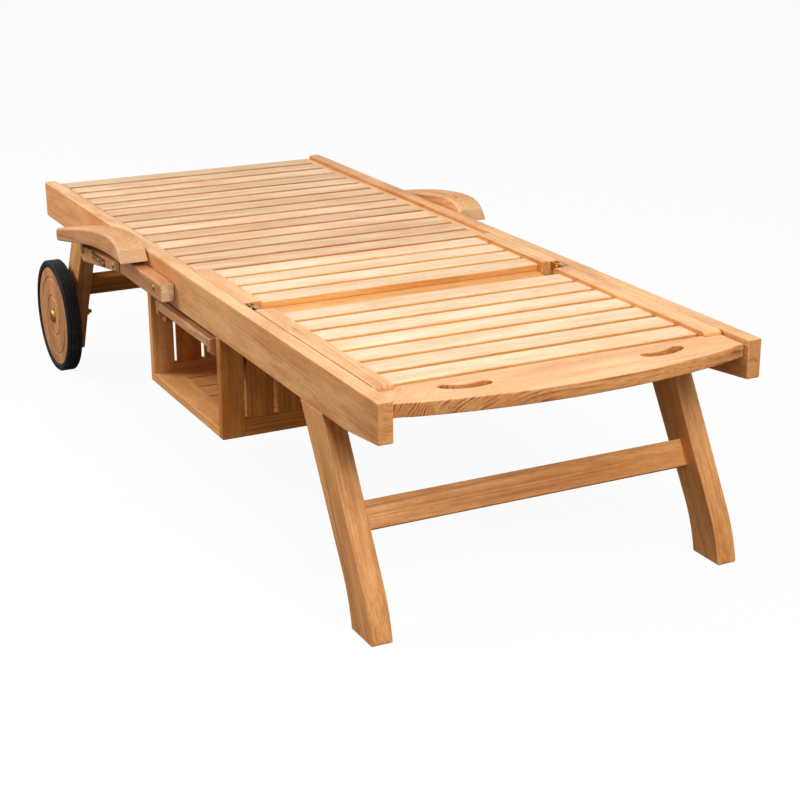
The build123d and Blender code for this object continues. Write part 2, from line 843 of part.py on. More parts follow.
def washer_and_spacer():
    """The spacer between wheel and leg, and the washer under the nut."""
    spacer_end = wheel_inner + disc_inset - side_clearance
    spacer = rod(-spacer_end, -leg_outer, axle_place, washer_diameter)
    washer = rod(-rear_leg_inner, -rear_leg_inner + washer_thick, axle_place, washer_diameter)
    through = rod(-wheel_outer, 0, axle_place, axle_diameter)
    return [spacer - through, washer - through]


def wheel_nut():
    start = -rear_leg_inner + washer_thick
    outline = Plane.YZ.offset(start) * Pos(*axle_place) * RegularPolygon(nut_size / 2, 6)
    hexagon = extrude(outline, amount=nut_height)
    return hexagon - rod(start - overrun, start + nut_height + overrun, axle_place, axle_diameter)


def for_both(pieces):
    """The pieces of the left side and their mirrored right ones."""
    return list(pieces) + [right(piece) for piece in pieces]


save_pair(wheel(), "wheel")
save_pair(tyre(), "tyre")
save(both(wheel_bolt()), "wheel_bolts")
save(for_both(washer_and_spacer()), "wheel_washers")
save(both(wheel_nut()), "wheel_nuts")


# Armrests and their posts

arm_nose_y = foot + arm_nose_from_foot
arm_crown = height + arm_crown_over_rail


def armrest():
    """A sawn curve in side view with a rolled nose at the front."""
    under_fall = arm_fall + arm_end_thick - arm_thick
    top = [(arm_nose_y + arm_length * along, arm_crown - arm_fall * down) for along, down in arm_top_shares]
    under = [(arm_nose_y + arm_length * along, arm_crown - arm_thick - under_fall * down)
             for along, down in arm_under_shares]
    outline = Spline(*top)
    outline += Line(top[-1], under[0])
    outline += Spline(*under)
    outline += Line(under[-1], top[0])
    return plate(outline, -arm_outer, -arm_inner)


def bored(post, lower_pin, upper_pin):
    """A post with running bores for its bolt in the rail and its pin in the armrest."""
    through = (-post_outer - overrun, -post_inner + overrun)
    post -= rod(*through, lower_pin, post_bolt_diameter + running_clearance * 2)
    return post - rod(*through, upper_pin, arm_pin_diameter + running_clearance * 2)


def front_post():
    """The straight post, cut off square past both pins."""
    top = height - post_top_below_top
    bottom = top - post_height
    ends = (front_pivot[0] - post_tail, front_arm_pin[0] + post_head)
    post = block((-post_outer, -post_inner), ends, (bottom, top))
    upper = post.edges().filter_by(Axis.X).group_by(Axis.Z)[-1].sort_by(Axis.Y)[-1]
    return bored(chamfer(upper, post_corner), front_pivot, front_arm_pin)


def rear_post():
    """The tapered post, which slopes down to its upper pin when folded."""
    foot_y = rear_pivot[0] - rear_post_foot_tail
    head_y = rear_arm_pin[0] + rear_post_head_tail
    foot_levels = (rear_pivot[1] - rear_post_under_foot_pin, rear_pivot[1] + rear_post_over_foot_pin)
    head_levels = (rear_arm_pin[1] - rear_post_under_head_pin, rear_arm_pin[1] + rear_post_over_head_pin)
    corners = ((foot_y, foot_levels[0]), (foot_y, foot_levels[1]), (head_y, head_levels[1]))
    corners += ((head_y, head_levels[0] + rear_post_chamfer), (head_y - rear_post_chamfer, head_levels[0]))
    post = plate(Polyline(*corners, close=True), -post_outer, -post_inner)
    return bored(post, rear_pivot, rear_arm_pin)


def arm_bolt(pivot):
    """A bolt through a post into the side rail."""
    shaft = rod(-post_outer - side_clearance, -rail_outer + post_bolt_bite, pivot, post_bolt_diameter)
    outer = -post_outer - side_clearance
    return shaft + rod(outer - post_bolt_head_height, outer, pivot, post_bolt_head)


def arm_bracket(pin, arm):
    """A brass bracket from the armrest's underside down to a post's pin."""
    plate_in = -post_outer - bracket_gap
    plate_out = plate_in - bracket_thick
    half = bracket_width / 2
    tall = block((plate_out, plate_in), (pin[0] - half, pin[0] + half), (pin[1], arm_crown))
    tall += rod(plate_out, plate_in, pin, bracket_width)
    tall -= arm
    shaft = rod(plate_in, -post_inner - side_clearance, pin, arm_pin_diameter)
    return keep_low(tall, arm) + shaft


def keep_low(shape, arm):
    """Of a bracket that was cut by the armrest, the part below it."""
    return sorted(shape.solids(), key=lambda solid: solid.center().Z)[0]


def arm_catch():
    """A toothed brass stay on the outer face of the rear post."""
    start = rear_pivot[0] + catch_from_pivot - catch_length / 2
    top = rear_pivot[1]
    outer = -post_outer - catch_thick
    body = block((outer, -post_outer), (start, start + catch_length), (top - catch_height, top))
    pitch = catch_length / catch_tooth_count
    tooth = pitch * catch_tooth_share
    for i in range(catch_tooth_count):
        middle = start + pitch * (i + 1 / 2)
        body -= block((outer, -post_outer), (middle - tooth / 2, middle + tooth / 2),
                      (top - catch_tooth_depth, top + overrun))
    return body


arm = armrest()
save_pair(arm, "armrest")
save_pair(front_post(), "front_post")
save_pair(rear_post(), "rear_post")
brackets = [arm_bracket(front_arm_pin, arm), arm_bracket(rear_arm_pin, arm)]
save(brackets, "left_arm_brackets")
save([right(bracket) for bracket in brackets], "right_arm_brackets")
save_pair(arm_catch(), "arm_catch")
save(both(arm_bolt(front_pivot)) + both(arm_bolt(rear_pivot)), "arm_pivot_bolts")


# Storage box

box_bottom = rail_bottom - box_height
box_depth = box_stile_width * 2 + box_slat_width * box_slat_count + box_slat_gap * (box_slat_count + 1)
box_outer = rail_outer
box_inner = box_outer - box_depth
floor_top = box_bottom + box_floor_thick


def panel_frame(start):
    """Two stiles, a top rail and a bottom rail of one end of the box."""
    ys = (start, start + box_thick)
    rail_xs = (-box_outer + box_stile_width, -box_inner - box_stile_width)
    outer_stile = block((-box_outer, rail_xs[0]), ys, (box_bottom, rail_bottom))
    inner_stile = block((rail_xs[1], -box_inner), ys, (box_bottom, rail_bottom))
    bottom_rail = block(rail_xs, ys, (box_bottom, box_bottom + box_bottom_rail))
    top_rail = block(rail_xs, ys, (rail_bottom - box_top_rail, rail_bottom))
    return [outer_stile, inner_stile, bottom_rail, top_rail]


def panel_slats(start):
    """The upright slats between the rails of one end of the box."""
    middle = start + box_thick / 2
    ys = (middle - box_slat_thick / 2, middle + box_slat_thick / 2)
    levels = (box_bottom + box_bottom_rail, rail_bottom - box_top_rail)
    first = -box_outer + box_stile_width + box_slat_gap
    pitch = box_slat_width + box_slat_gap
    starts = [first + pitch * i for i in range(box_slat_count)]
    return [block((place, place + box_slat_width), ys, levels) for place in starts]


def floor_edges():
    """The boards along the open side and the inner side of the floor."""
    ys = (box_start + box_thick, box_end - box_thick)
    levels = (box_bottom, floor_top)
    outer = block((-box_outer, -box_outer + box_edge_board), ys, levels)
    inner = block((-box_inner - box_edge_board / 2, -box_inner), ys, levels)
    return [outer, inner]


def floor_slats():
    """Floor slats that run across between the two edge boards."""
    span = box_end - box_start - box_thick * 2
    slat_width = (span - box_floor_gap * (box_floor_slat_count - 1)) / box_floor_slat_count
    pitch = slat_width + box_floor_gap
    xs = (-box_outer + box_edge_board, -box_inner - box_edge_board / 2)
    levels = (floor_top - box_floor_slat_thick, floor_top)
    begin = box_start + box_thick
    starts = [begin + pitch * i for i in range(box_floor_slat_count)]
    return [block(xs, (place, place + slat_width), levels) for place in starts]


save(panel_frame(box_start), "box_foot_frame")
save(panel_frame(box_end - box_thick), "box_head_frame")
save(panel_slats(box_start) + panel_slats(box_end - box_thick), "box_panel_slats")
save(floor_edges(), "box_floor_edge_boards")
save(floor_slats(), "box_floor_slats")


# Tray and its runners

tray_top = rail_bottom - tray_top_below_rail
tray_bottom = tray_top - tray_side_height
tray_start = box_start + tray_from_box_start
tray_end = box_end - tray_from_box_end
tray_back = -box_outer + tray_depth


def tray_frame():
    """A front strip and a back strip between two deeper ends, notched at the front."""
    levels = (tray_top - tray_strip_height, tray_top)
    ends = (tray_start + tray_side_thick, tray_end - tray_side_thick)
    front = block((-box_outer, -box_outer + tray_strip_thick), ends, levels)
    back = block((tray_back - tray_strip_thick, tray_back), ends, levels)
    pieces = [front, back]
    for start in (tray_start, ends[1]):
        side = block((-box_outer, tray_back), (start, start + tray_side_thick), (tray_bottom, tray_top))
        low_corner = side.edges().filter_by(Axis.Y).group_by(Axis.Z)[0].sort_by(Axis.X)[0]
        pieces.append(chamfer(low_corner, tray_end_chamfer))
    return pieces


def tray_slats():
    """Thin slats along the tray, let in between its strips."""
    ys = (tray_start + tray_side_thick, tray_end - tray_side_thick)
    xs = (-box_outer + tray_strip_thick, tray_back - tray_strip_thick)
    slat_width = (xs[1] - xs[0] - tray_deck_gap * (tray_deck_count - 1)) / tray_deck_count
    pitch = slat_width + tray_deck_gap
    bottom = tray_top - tray_strip_height
    levels = (bottom, bottom + tray_deck_thick)
    starts = [xs[0] + pitch * i for i in range(tray_deck_count)]
    return [block((place, place + slat_width), ys, levels) for place in starts]


def runner(panel_face, tray_side, direction):
    """A fixed bar on an end of the box with a ledge under the tray."""
    xs = (-box_outer + tray_runner_inset, -box_inner)
    top = rail_bottom
    face = tray_side - direction * tray_gap
    bar = block(xs, (panel_face, face), (top - tray_runner_height, top))
    ledge_top = tray_bottom - tray_gap
    levels = (top - tray_runner_height, ledge_top)
    return bar + block(xs, (panel_face, face + direction * tray_ledge_reach), levels)


save(tray_frame(), "tray_frame")
save(tray_slats(), "tray_slats")
runners = [runner(box_start + box_thick, tray_start, 1), runner(box_end - box_thick, tray_end, -1)]
save(runners, "tray_runners")

print("back hinge", back_hinge_y, back_hinge_z, "prop pivot", back_prop_pivot, "bar", back_bar_place)
print("knee", knee_y, knee_z, "prop pivot", leg_prop_pivot, "bar", leg_bar_place)
print("arm pivots", front_pivot, rear_pivot, "pins", front_arm_pin, rear_arm_pin)
print("axle", axle_place, "tray", tray_top, "box", box_start, box_end, -box_inner)
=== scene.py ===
# %% [markdown]
# # A teak sun lounger on two wheels
# A folding lounger stands on a pale floor: two long side rails, a seat, a back and a leg
# panel of thin slats, two armrests on folding posts, a storage box with a tray and two
# wooden wheels with rubber tyres. The CAD model is its plain form. This lesson draws the
# same boards again with eased edges and growth rings, and gives them their light.

# %% Load the CAD frame
import bmesh
import bpy
import math
import random
from mathutils import Matrix, Vector
from mathutils.geometry import tessellate_polygon


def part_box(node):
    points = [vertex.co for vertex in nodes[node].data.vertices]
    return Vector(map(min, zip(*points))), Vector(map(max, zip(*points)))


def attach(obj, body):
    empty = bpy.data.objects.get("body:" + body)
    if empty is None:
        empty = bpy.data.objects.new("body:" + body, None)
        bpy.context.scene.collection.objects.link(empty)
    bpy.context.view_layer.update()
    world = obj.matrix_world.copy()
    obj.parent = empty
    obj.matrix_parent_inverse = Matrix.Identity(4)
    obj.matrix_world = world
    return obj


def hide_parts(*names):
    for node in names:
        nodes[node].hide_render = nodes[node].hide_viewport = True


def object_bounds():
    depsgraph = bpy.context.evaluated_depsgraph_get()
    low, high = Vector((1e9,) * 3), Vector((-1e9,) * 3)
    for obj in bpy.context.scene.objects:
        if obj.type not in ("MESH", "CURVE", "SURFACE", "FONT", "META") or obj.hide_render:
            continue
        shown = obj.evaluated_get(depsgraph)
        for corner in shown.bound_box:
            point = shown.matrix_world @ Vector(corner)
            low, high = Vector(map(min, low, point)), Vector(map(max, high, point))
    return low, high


scene = bpy.context.scene
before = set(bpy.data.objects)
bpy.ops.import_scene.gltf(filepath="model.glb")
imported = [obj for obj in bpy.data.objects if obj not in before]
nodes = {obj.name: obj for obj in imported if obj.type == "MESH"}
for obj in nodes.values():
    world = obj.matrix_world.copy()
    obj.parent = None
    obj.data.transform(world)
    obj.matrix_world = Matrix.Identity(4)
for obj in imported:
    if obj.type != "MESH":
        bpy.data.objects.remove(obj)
cad_low, cad_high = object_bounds()

# %% [markdown]
# ## The camera
# The photographer stood at the foot end, left of the lounger, and looked down a little.
# The camera is placed by three angles, so that its axes can be written out one by one.

# %% Place the camera
picture_pixels = 800
focal_pixels = 1716.5
azimuth, pitch, roll = math.radians(26.60), math.radians(19.14), math.radians(-0.32)
stand = Vector((-1.55935, -3.38948, 1.39953))
level = Vector((math.cos(azimuth), -math.sin(azimuth), 0))
ahead = Vector((math.sin(azimuth), math.cos(azimuth), 0))
forward = ahead * math.cos(pitch) - Vector((0, 0, math.sin(pitch)))
lift = level.cross(forward)
sideways = level * math.cos(roll) + lift * math.sin(roll)
upwards = lift * math.cos(roll) - level * math.sin(roll)
camera = bpy.data.objects.new("camera", bpy.data.cameras.new("camera"))
scene.collection.objects.link(camera)
camera.data.sensor_width = 36
camera.data.lens = focal_pixels / picture_pixels * camera.data.sensor_width
camera.data.clip_end = 200
turn = Matrix((sideways, upwards, -forward)).transposed().to_4x4()
camera.matrix_world = Matrix.Translation(stand) @ turn
scene.camera = camera
scene.view_settings.view_transform = "Standard"
print("lens", round(camera.data.lens, 1), "mm")

# %% [markdown]
# ## Recipes of nodes
# Every finish and every repeated row below is a tree of nodes. This class adds one node for
# each word and joins its sockets, so that the trees read like short recipes.

# %% The recipe class


class Recipe:
    """A node tree, with a short word for each kind of node that it needs."""

    def __init__(self, tree):
        self.tree, self.nodes = tree, tree.nodes

    def join(self, value, socket):
        """Link a value that is a socket, and set any other."""
        if isinstance(value, bpy.types.NodeSocket):
            self.tree.links.new(value, socket)
        else:
            socket.default_value = value

    def fill(self, inputs, words):
        """Join each word's value to the input of that name, with _ for a space."""
        for name, value in words.items():
            self.join(value, inputs[name.replace("_", " ")])

    def add(self, kind, *values, **words):
        """One node. Values fill its inputs in order, capital words by name, and small words set it."""
        made = self.nodes.new(kind)
        for name, value in words.items():
            if name[0].islower():
                setattr(made, name, value)
        for number, value in enumerate(values):
            self.join(value, made.inputs[number])
        self.fill(made.inputs, {name: value for name, value in words.items() if name[0].isupper()})
        return made

    def maths(self, operation, *values):
        return self.add("ShaderNodeMath", *values, operation=operation).outputs[0]

    def times(self, first, second):
        return self.maths("MULTIPLY", first, second)

    def plus(self, first, second):
        return self.maths("ADD", first, second)

    def minus(self, first, second):
        return self.maths("SUBTRACT", first, second)

    def vectors(self, operation, *values, **words):
        return self.add("ShaderNodeVectorMath", *values, operation=operation, **words).outputs[0]

    def parts(self, vector):
        """The parts of a vector, by their letters."""
        return self.add("ShaderNodeSeparateXYZ", vector).outputs

    def vector(self, **parts):
        return self.add("ShaderNodeCombineXYZ", **parts).outputs[0]

    def span(self, value, low, high, to_low=0.0, to_high=1.0, smooth=True):
        """A value from one range to another, held inside it."""
        words = {"interpolation_type": "SMOOTHSTEP" if smooth else "LINEAR"}
        return self.add("ShaderNodeMapRange", value, low, high, to_low, to_high, **words).outputs[0]


def colour(red, green, blue):
    """A colour as it reads on a screen, 0 to 255, made linear."""
    parts = [value / 255 for value in (red, green, blue)]
    linear = [part / 12.92 if part <= 0.04045 else ((part + 0.055) / 1.055) ** 2.4 for part in parts]
    return (*linear, 1.0)


def new_group(name, kind, inputs, outputs):
    """A node group, as (recipe, input sockets, output sockets); inputs are (name, kind, value)."""
    tree = bpy.data.node_groups.new(name, kind)
    for label, socket_kind, value in inputs:
        socket = tree.interface.new_socket(label, in_out="INPUT", socket_type="NodeSocket" + socket_kind)
        if value is not None:
            socket.default_value = value
    for label, socket_kind in outputs:
        tree.interface.new_socket(label, in_out="OUTPUT", socket_type="NodeSocket" + socket_kind)
    return Recipe(tree), tree.nodes.new("NodeGroupInput").outputs, tree.nodes.new("NodeGroupOutput").inputs


print("recipes ready")

# %% [markdown]
# Finishes need noise, mixed colours and small bumps, so their recipes know a few words more.

# %% The recipe of a finish


class Finish(Recipe):
    """A recipe for a material or a group of shader nodes."""

    def noise(self, vector, scale, detail=2.0, roughness=0.5):
        """Noise over a vector, with its own scale for each part."""
        spread = self.vectors("MULTIPLY", vector, scale)
        words = {"Vector": spread, "Scale": 1.0, "Detail": detail, "Roughness": roughness}
        return self.add("ShaderNodeTexNoise", **words).outputs

    def blend(self, factor, first, second, kind="MIX"):
        """Two colours mixed by a factor."""
        made = self.add("ShaderNodeMix", factor, data_type="RGBA", blend_type=kind)
        self.join(first, made.inputs[6])
        self.join(second, made.inputs[7])
        return made.outputs[2]

    def attribute(self, name, output="Fac"):
        return self.add("ShaderNodeAttribute", attribute_name=name).outputs[output]

    def coordinates(self):
        return self.add("ShaderNodeTexCoord").outputs

    def bump(self, height, strength, distance, **words):
        words |= {"Strength": strength, "Distance": distance, "Height": height}
        return self.add("ShaderNodeBump", **words).outputs[0]


def new_finish(name):
    """A material, as (material, recipe, inputs of its Principled shader)."""
    made = bpy.data.materials.new(name)
    made.use_nodes = True
    return made, Finish(made.node_tree), made.node_tree.nodes["Principled BSDF"].inputs


def shader_group(name, inputs, outputs):
    """A group of shader nodes that gives values only."""
    recipe, given, result = new_group(name, "ShaderNodeTree", inputs, [(label, "Float") for label in outputs])
    return Finish(recipe.tree), given, result


print("finish words ready")

# %% [markdown]
# ## Timber figure
# Teak shows growth rings, long dark fibres and short open pores. A picture of wood would
# stretch round the corners of a board. Here the rings are worked out in three dimensions:
# each board knows where it was cut in its log, so the same rings give long lines on a face
# and arcs on an end.

# %% The timber figure group
figure, given, result = shader_group(
    "timber figure",
    [("Grain", "Vector", None), ("Ring Width", "Float", 0.0055), ("Waver", "Float", 0.02)],
    ("Rings", "Fibres", "Clouds", "Pores", "Mottle", "Height"),
)
grain = given["Grain"]
drift = figure.vectors("SUBTRACT", figure.noise(grain, (0.9, 5.0, 5.0), 1.0)["Color"], (0.5, 0.5, 0.5))
wandering = figure.vectors("ADD", grain, figure.vectors("SCALE", drift, Scale=given["Waver"]))
across = figure.vectors("MULTIPLY", wandering, (0.0, 1.0, 1.0))
radius = figure.add("ShaderNodeVectorMath", across, operation="LENGTH").outputs["Value"]
season = figure.noise(grain, (0.5, 14.0, 14.0), 2.0, 0.6)[0]
count = figure.plus(figure.maths("DIVIDE", radius, given["Ring Width"]), figure.times(season, 7.0))
share = figure.maths("FRACT", count)
late_wood = figure.times(figure.span(share, 0.25, 0.93), figure.span(share, 0.94, 1.0, 1.0, 0.0))
strength = figure.span(figure.noise(grain, (1.6, 38.0, 38.0), 3.0)[0], 0.38, 0.70, 0.10, 1.0)
marks = {"Rings": figure.times(late_wood, strength)}
for name, scale, detail, roughness, low, high in (
    ("Fibres", (12.0, 480.0, 480.0), 3.0, 0.6, 0.36, 0.66),
    ("Clouds", (3.6, 20.0, 20.0), 5.0, 0.66, 0.36, 0.64),
    ("Pores", (55.0, 1500.0, 1500.0), 1.0, 0.5, 0.62, 0.74),
    ("Mottle", (70.0, 260.0, 260.0), 3.0, 0.7, 0.34, 0.66),
):
    marks[name] = figure.span(figure.noise(grain, scale, detail, roughness)[0], low, high)
marks["Height"] = figure.plus(figure.times(marks["Fibres"], 0.45), figure.times(marks["Pores"], 0.9))
figure.fill(result, marks)
print("figure nodes", len(figure.nodes))

# %% [markdown]
# ## Sanded edges and upward faces, painted paler
# On the real lounger the sander has rounded each edge and left it a little paler, and the
# faces that look up have gone pale in the sun. Both are also painted paler to stand in for
# light: a painted highlight on the rounded edges and painted light on the upward faces. A
# second group gives both masks, and one for stains. The edge mask is written on each board's
# mesh, and the paling of the tops follows the direction of the face on the piece itself.

# %% The finishing group
finishing, given, result = shader_group(
    "sanded and faded",
    [("Edge", "Float", 0.0), ("Fade", "Float", 0.5), ("Grime", "Float", 0.5)],
    ("Sanded", "Faded", "Grimed"),
)
here = finishing.coordinates()
patches = finishing.noise(here["Object"], (7.0, 7.0, 7.0), 3.0)[0]
stains = finishing.noise(here["Object"], (11.0, 5.0, 11.0), 4.0, 0.6)[0]
# Upward faces are painted paler: partly wood gone pale in the sun, partly painted light on the tops.
upward = finishing.span(finishing.parts(here["Normal"])["Z"], 0.35, 0.95)
faded_and_lit = finishing.times(finishing.times(upward, given["Fade"]), finishing.span(patches, 0.2, 0.75, 0.8, 1.0))
finishing.fill(result, {
    "Sanded": finishing.times(given["Edge"], finishing.span(patches, 0.3, 0.62, 0.35, 1.0)),
    "Faded": faded_and_lit,
    "Grimed": finishing.times(finishing.span(stains, 0.56, 0.8), given["Grime"]),
})
print("finishing nodes", len(finishing.nodes))

# %% [markdown]
# ## Teak
# One function mixes the two groups into a teak finish. The lounger's boards come from
# several logs, so it is called once for each kind of board, with its own three shades.

# %% The teak finish


def between(first, second, share):
    """A colour part of the way from one to another."""
    return tuple(a + (b - a) * share for a, b in zip(first, second))


def grain_along(mix, axis):
    """The grain of a plain CAD solid that carries none of its own, along X or Y."""
    turn = math.radians(-90) if axis == "Y" else 0
    return mix.add("ShaderNodeMapping", Vector=mix.coordinates()["Object"], Rotation=(0, 0, turn)).outputs[0]


def teak(name, shades, looks, sunny=None, cut=None, worn=None, worn_share=0.30, top_figure=0.42,
         ring_width=0.009, along=None):
    """A teak finish. Shades are pale, middle and dark; looks are the shares of figure, of paler tops (sun and
    painted light) and of grime.
    """
    pale, middle, dark = (colour(*shade) for shade in shades)
    figure_share, top_paling, grime = looks
    sunny = colour(*sunny) if sunny else pale
    cut = colour(*cut) if cut else between(middle, dark, 0.38)
    worn = colour(*worn) if worn else pale
    made, mix, shader = new_finish(name)
    grain = grain_along(mix, along) if along else mix.attribute("grain", "Vector")
    tone, edge, cut_end = (mix.attribute(label) for label in ("tone", "edge", "end"))
    wood = mix.add("ShaderNodeGroup", node_tree=figure.tree, Grain=grain, Ring_Width=ring_width).outputs
    wear = mix.add("ShaderNodeGroup", node_tree=finishing.tree, Edge=edge, Fade=top_paling, Grime=grime).outputs
    # The top colour is painted paler: sun-paled wood and painted light on upward faces.
    bleached_and_lit = mix.blend(wood["Clouds"], between(middle, sunny, 0.62), sunny)
    base = mix.blend(wear["Faded"], mix.blend(wood["Clouds"], middle, pale), bleached_and_lit)
    base = mix.blend(mix.times(cut_end, 0.85), base, cut)
    left = mix.span(wear["Faded"], 0.0, 1.0, 1.0, top_figure, smooth=False)
    for mark, share in (("Rings", figure_share), ("Fibres", 0.28 * figure_share + 0.08), ("Pores", 0.34)):
        base = mix.blend(mix.times(mix.times(wood[mark], share), left), base, dark)
    base = mix.blend(mix.times(wear["Grimed"], 0.45), base, dark)
    # Sanded edges are painted paler: wear, and a painted highlight on the rounded edges.
    base = mix.blend(mix.times(wear["Sanded"], worn_share), base, worn)
    uneven = mix.span(wood["Mottle"], 0.0, 1.0, 0.93, 1.05, smooth=False)
    shade = mix.times(mix.span(tone, 0.0, 1.0, 0.90, 1.04, smooth=False), uneven)
    warmth = [mix.times(shade, mix.span(tone, 0.0, 1.0, low, 1.0, smooth=False)) for low in (0.97, 0.92)]
    base = mix.blend(1.0, base, mix.add("ShaderNodeCombineColor", shade, *warmth).outputs[0], "MULTIPLY")
    rough = mix.plus(mix.times(wood["Fibres"], 0.14), 0.50)
    mix.fill(shader, {
        "Base Color": base,
        "Roughness": mix.plus(rough, mix.times(cut_end, 0.15)),
        "Specular IOR Level": 0.35,
        "Normal": mix.bump(wood["Height"], 0.34, 0.0006, invert=True),
    })
    return made


slat_teak = teak("slat_teak", ((244, 190, 118), (231, 163, 88), (180, 108, 46)), (0.5, 0.95, 0.3),
                 (255, 233, 203))
back_teak = teak("back_teak", ((222, 158, 90), (204, 132, 64), (156, 86, 34)), (0.55, 0.96, 0.4),
                 (255, 226, 190), top_figure=0.48)
rail_teak = teak("rail_teak", ((242, 180, 116), (208, 136, 74), (146, 80, 34)), (0.54, 0.75, 1.0),
                 (254, 210, 160), (224, 160, 98), top_figure=0.34)
leg_teak = teak("leg_teak", ((242, 176, 108), (210, 138, 72), (136, 72, 28)), (0.60, 0.30, 0.9),
                ring_width=0.011)
# The arm's pale edge colour stands for wear and a painted highlight on its rounded nose.
arm_teak = teak("arm_teak", ((234, 170, 114), (204, 138, 82), (138, 80, 38)), (0.6, 0.5, 0.7),
                (236, 176, 118), worn=(255, 214, 170), worn_share=0.62)
post_teak = teak("post_teak", ((228, 166, 112), (198, 132, 82), (128, 74, 38)), (0.62, 0.5, 0.9),
                 (234, 178, 126), (255, 222, 176))
floor_teak = teak("floor_teak", ((248, 184, 116), (226, 156, 88), (132, 74, 28)), (0.5, 0.3, 0.8),
                  ring_width=0.011)
# A darker, more saturated teak: painted shade for the parts under the deck, the box and the rear stretcher.
box_teak = teak("box_teak", ((230, 154, 70), (198, 120, 40), (106, 52, 12)), (0.52, 0.25, 1.0),
                ring_width=0.011)
hidden_shades = ((206, 144, 84), (184, 120, 62), (120, 68, 28))
plain_teak_x = teak("plain_teak_x", hidden_shades, (0.5, 0.2, 0.4), along="X")
plain_teak_y = teak("plain_teak_y", hidden_shades, (0.5, 0.2, 0.4), along="Y")
print("teak finishes", len([m for m in bpy.data.materials if "teak" in m.name]))

# %% [markdown]
# ## Brass and rubber
# The fittings are brass that has gone brown in patches, and the tyres are black rubber with
# dust in the grooves.

# %% The brass and rubber finishes
brass, mix, shader = new_finish("brass")
spot = mix.coordinates()["Object"]
browned = mix.span(mix.noise(spot, (55.0, 55.0, 55.0), 4.0, 0.6)[0], 0.45, 0.75)
mix.fill(shader, {
    "Base Color": mix.blend(browned, colour(190, 146, 68), colour(112, 78, 38)),
    "Metallic": 1.0,
    "Roughness": mix.span(browned, 0.0, 1.0, 0.26, 0.58),
    "Normal": mix.bump(mix.noise(spot, (300.0, 1400.0, 300.0))[0], 0.15, 0.0002),
})
rubber, mix, shader = new_finish("rubber")
spot = mix.coordinates()["Object"]
dust = mix.span(mix.noise(spot, (16.0, 30.0, 30.0), 4.0, 0.65)[0], 0.5, 0.8)
# The rib tops are painted a lighter grey.
lighter_rib_tops = mix.times(mix.attribute("edge"), mix.span(dust, 0.0, 1.0, 0.12, 0.7))
tint = mix.blend(mix.times(dust, 0.4), colour(12, 12, 14), colour(46, 44, 42))
mix.fill(shader, {
    "Base Color": mix.blend(lighter_rib_tops, tint, colour(92, 92, 97)),
    "Roughness": mix.span(dust, 0.0, 1.0, 0.62, 0.85),
    "Specular IOR Level": 0.2,
    "Normal": mix.bump(mix.noise(spot, (900.0, 900.0, 900.0))[0], 0.2, 0.0003),
})
print("materials", len(bpy.data.materials))

# %% [markdown]
# ## Milling a board
# Each board is an outline that is cut out and then eased: the outline shrinks a little
# towards both faces in a few steps, and its sharp corners are rounded. A Bevel modifier
# could do this too, but it gives up where edges are short. Building the rings of the
# rounded edge by hand always works, and it says which points lie on the sanded edge, which
# the finish paints paler for wear and as a painted highlight.

# %% Outline helpers


def turn_at(before, here, after):
    """How far the outline turns at a point, in radians."""
    first, second = Vector(here) - Vector(before), Vector(after) - Vector(here)
    return math.atan2(first.x * second.y - first.y * second.x, first.dot(second))


def counter_clockwise(points):
    area = sum(a[0] * b[1] - b[0] * a[1] for a, b in zip(points, points[1:] + points[:1]))
    return list(points) if area > 0 else list(reversed(points))


def sharp_corners(points, least_turn=0.45):
    """For each point of an outline, whether it is a sharp corner."""
    neighbours = zip(points[-1:] + points[:-1], points, points[1:] + points[:1])
    return [abs(turn_at(*three)) >= least_turn for three in neighbours]


def rounded(points, sharp, reach, steps=3):
    """An outline with its sharp corners rounded, and a mark on the points of each round."""
    made = []
    for i, here in enumerate(points):
        if not sharp[i]:
            made.append((here, 0.0))
            continue
        corner = Vector(here)
        back, ahead = Vector(points[i - 1]) - corner, Vector(points[(i + 1) % len(points)]) - corner
        near = min(reach, back.length * 0.45, ahead.length * 0.45)
        start, stop = corner + back.normalized() * near, corner + ahead.normalized() * near
        for step in range(steps + 1):
            share = step / steps
            bend = start * (1 - share) ** 2 + corner * 2 * share * (1 - share) + stop * share ** 2
            made.append(((bend.x, bend.y), 1.0 if 0 < step < steps else 0.0))
    return made


def shrunk(points, distance):
    """Each point moved inwards, square to the outline there."""
    moved = []
    for i, here in enumerate(points):
        before, after = Vector(points[i - 1]), Vector(points[(i + 1) % len(points)])
        first, second = (Vector(here) - before).normalized(), (after - Vector(here)).normalized()
        normal = Vector((-first.y - second.y, first.x + second.x))
        size = max(normal.length, 0.3)
        move = normal.normalized() * distance * min(2.0 / size, 1.6)
        moved.append((here[0] + move.x, here[1] + move.y))
    return moved


def quarter_steps(size, steps):
    """The (inset, rise) pairs of a quarter round, from a face to the side."""
    angles = [math.pi / 2 * k / steps for k in range(steps + 1)]
    return [(size * (1 - math.sin(angle)), size * (1 - math.cos(angle))) for angle in angles]


print("a quarter round", quarter_steps(1, 2))

# %% [markdown]
# The outline lies in the plane square to the board's milling axis. The cut below returns a
# plain set of points and faces, with an edge mark for each point, which the finish paints
# paler for wear and as a painted highlight, and a smooth or flat mark for each face, so that
# broad faces stay flat and rounds stay soft.

# %% Cut a board from an outline
on_axis = {
    "X": lambda u, v, w: (w, u, v),
    "Y": lambda u, v, w: (v, w, u),
    "Z": lambda u, v, w: (u, v, w),
}


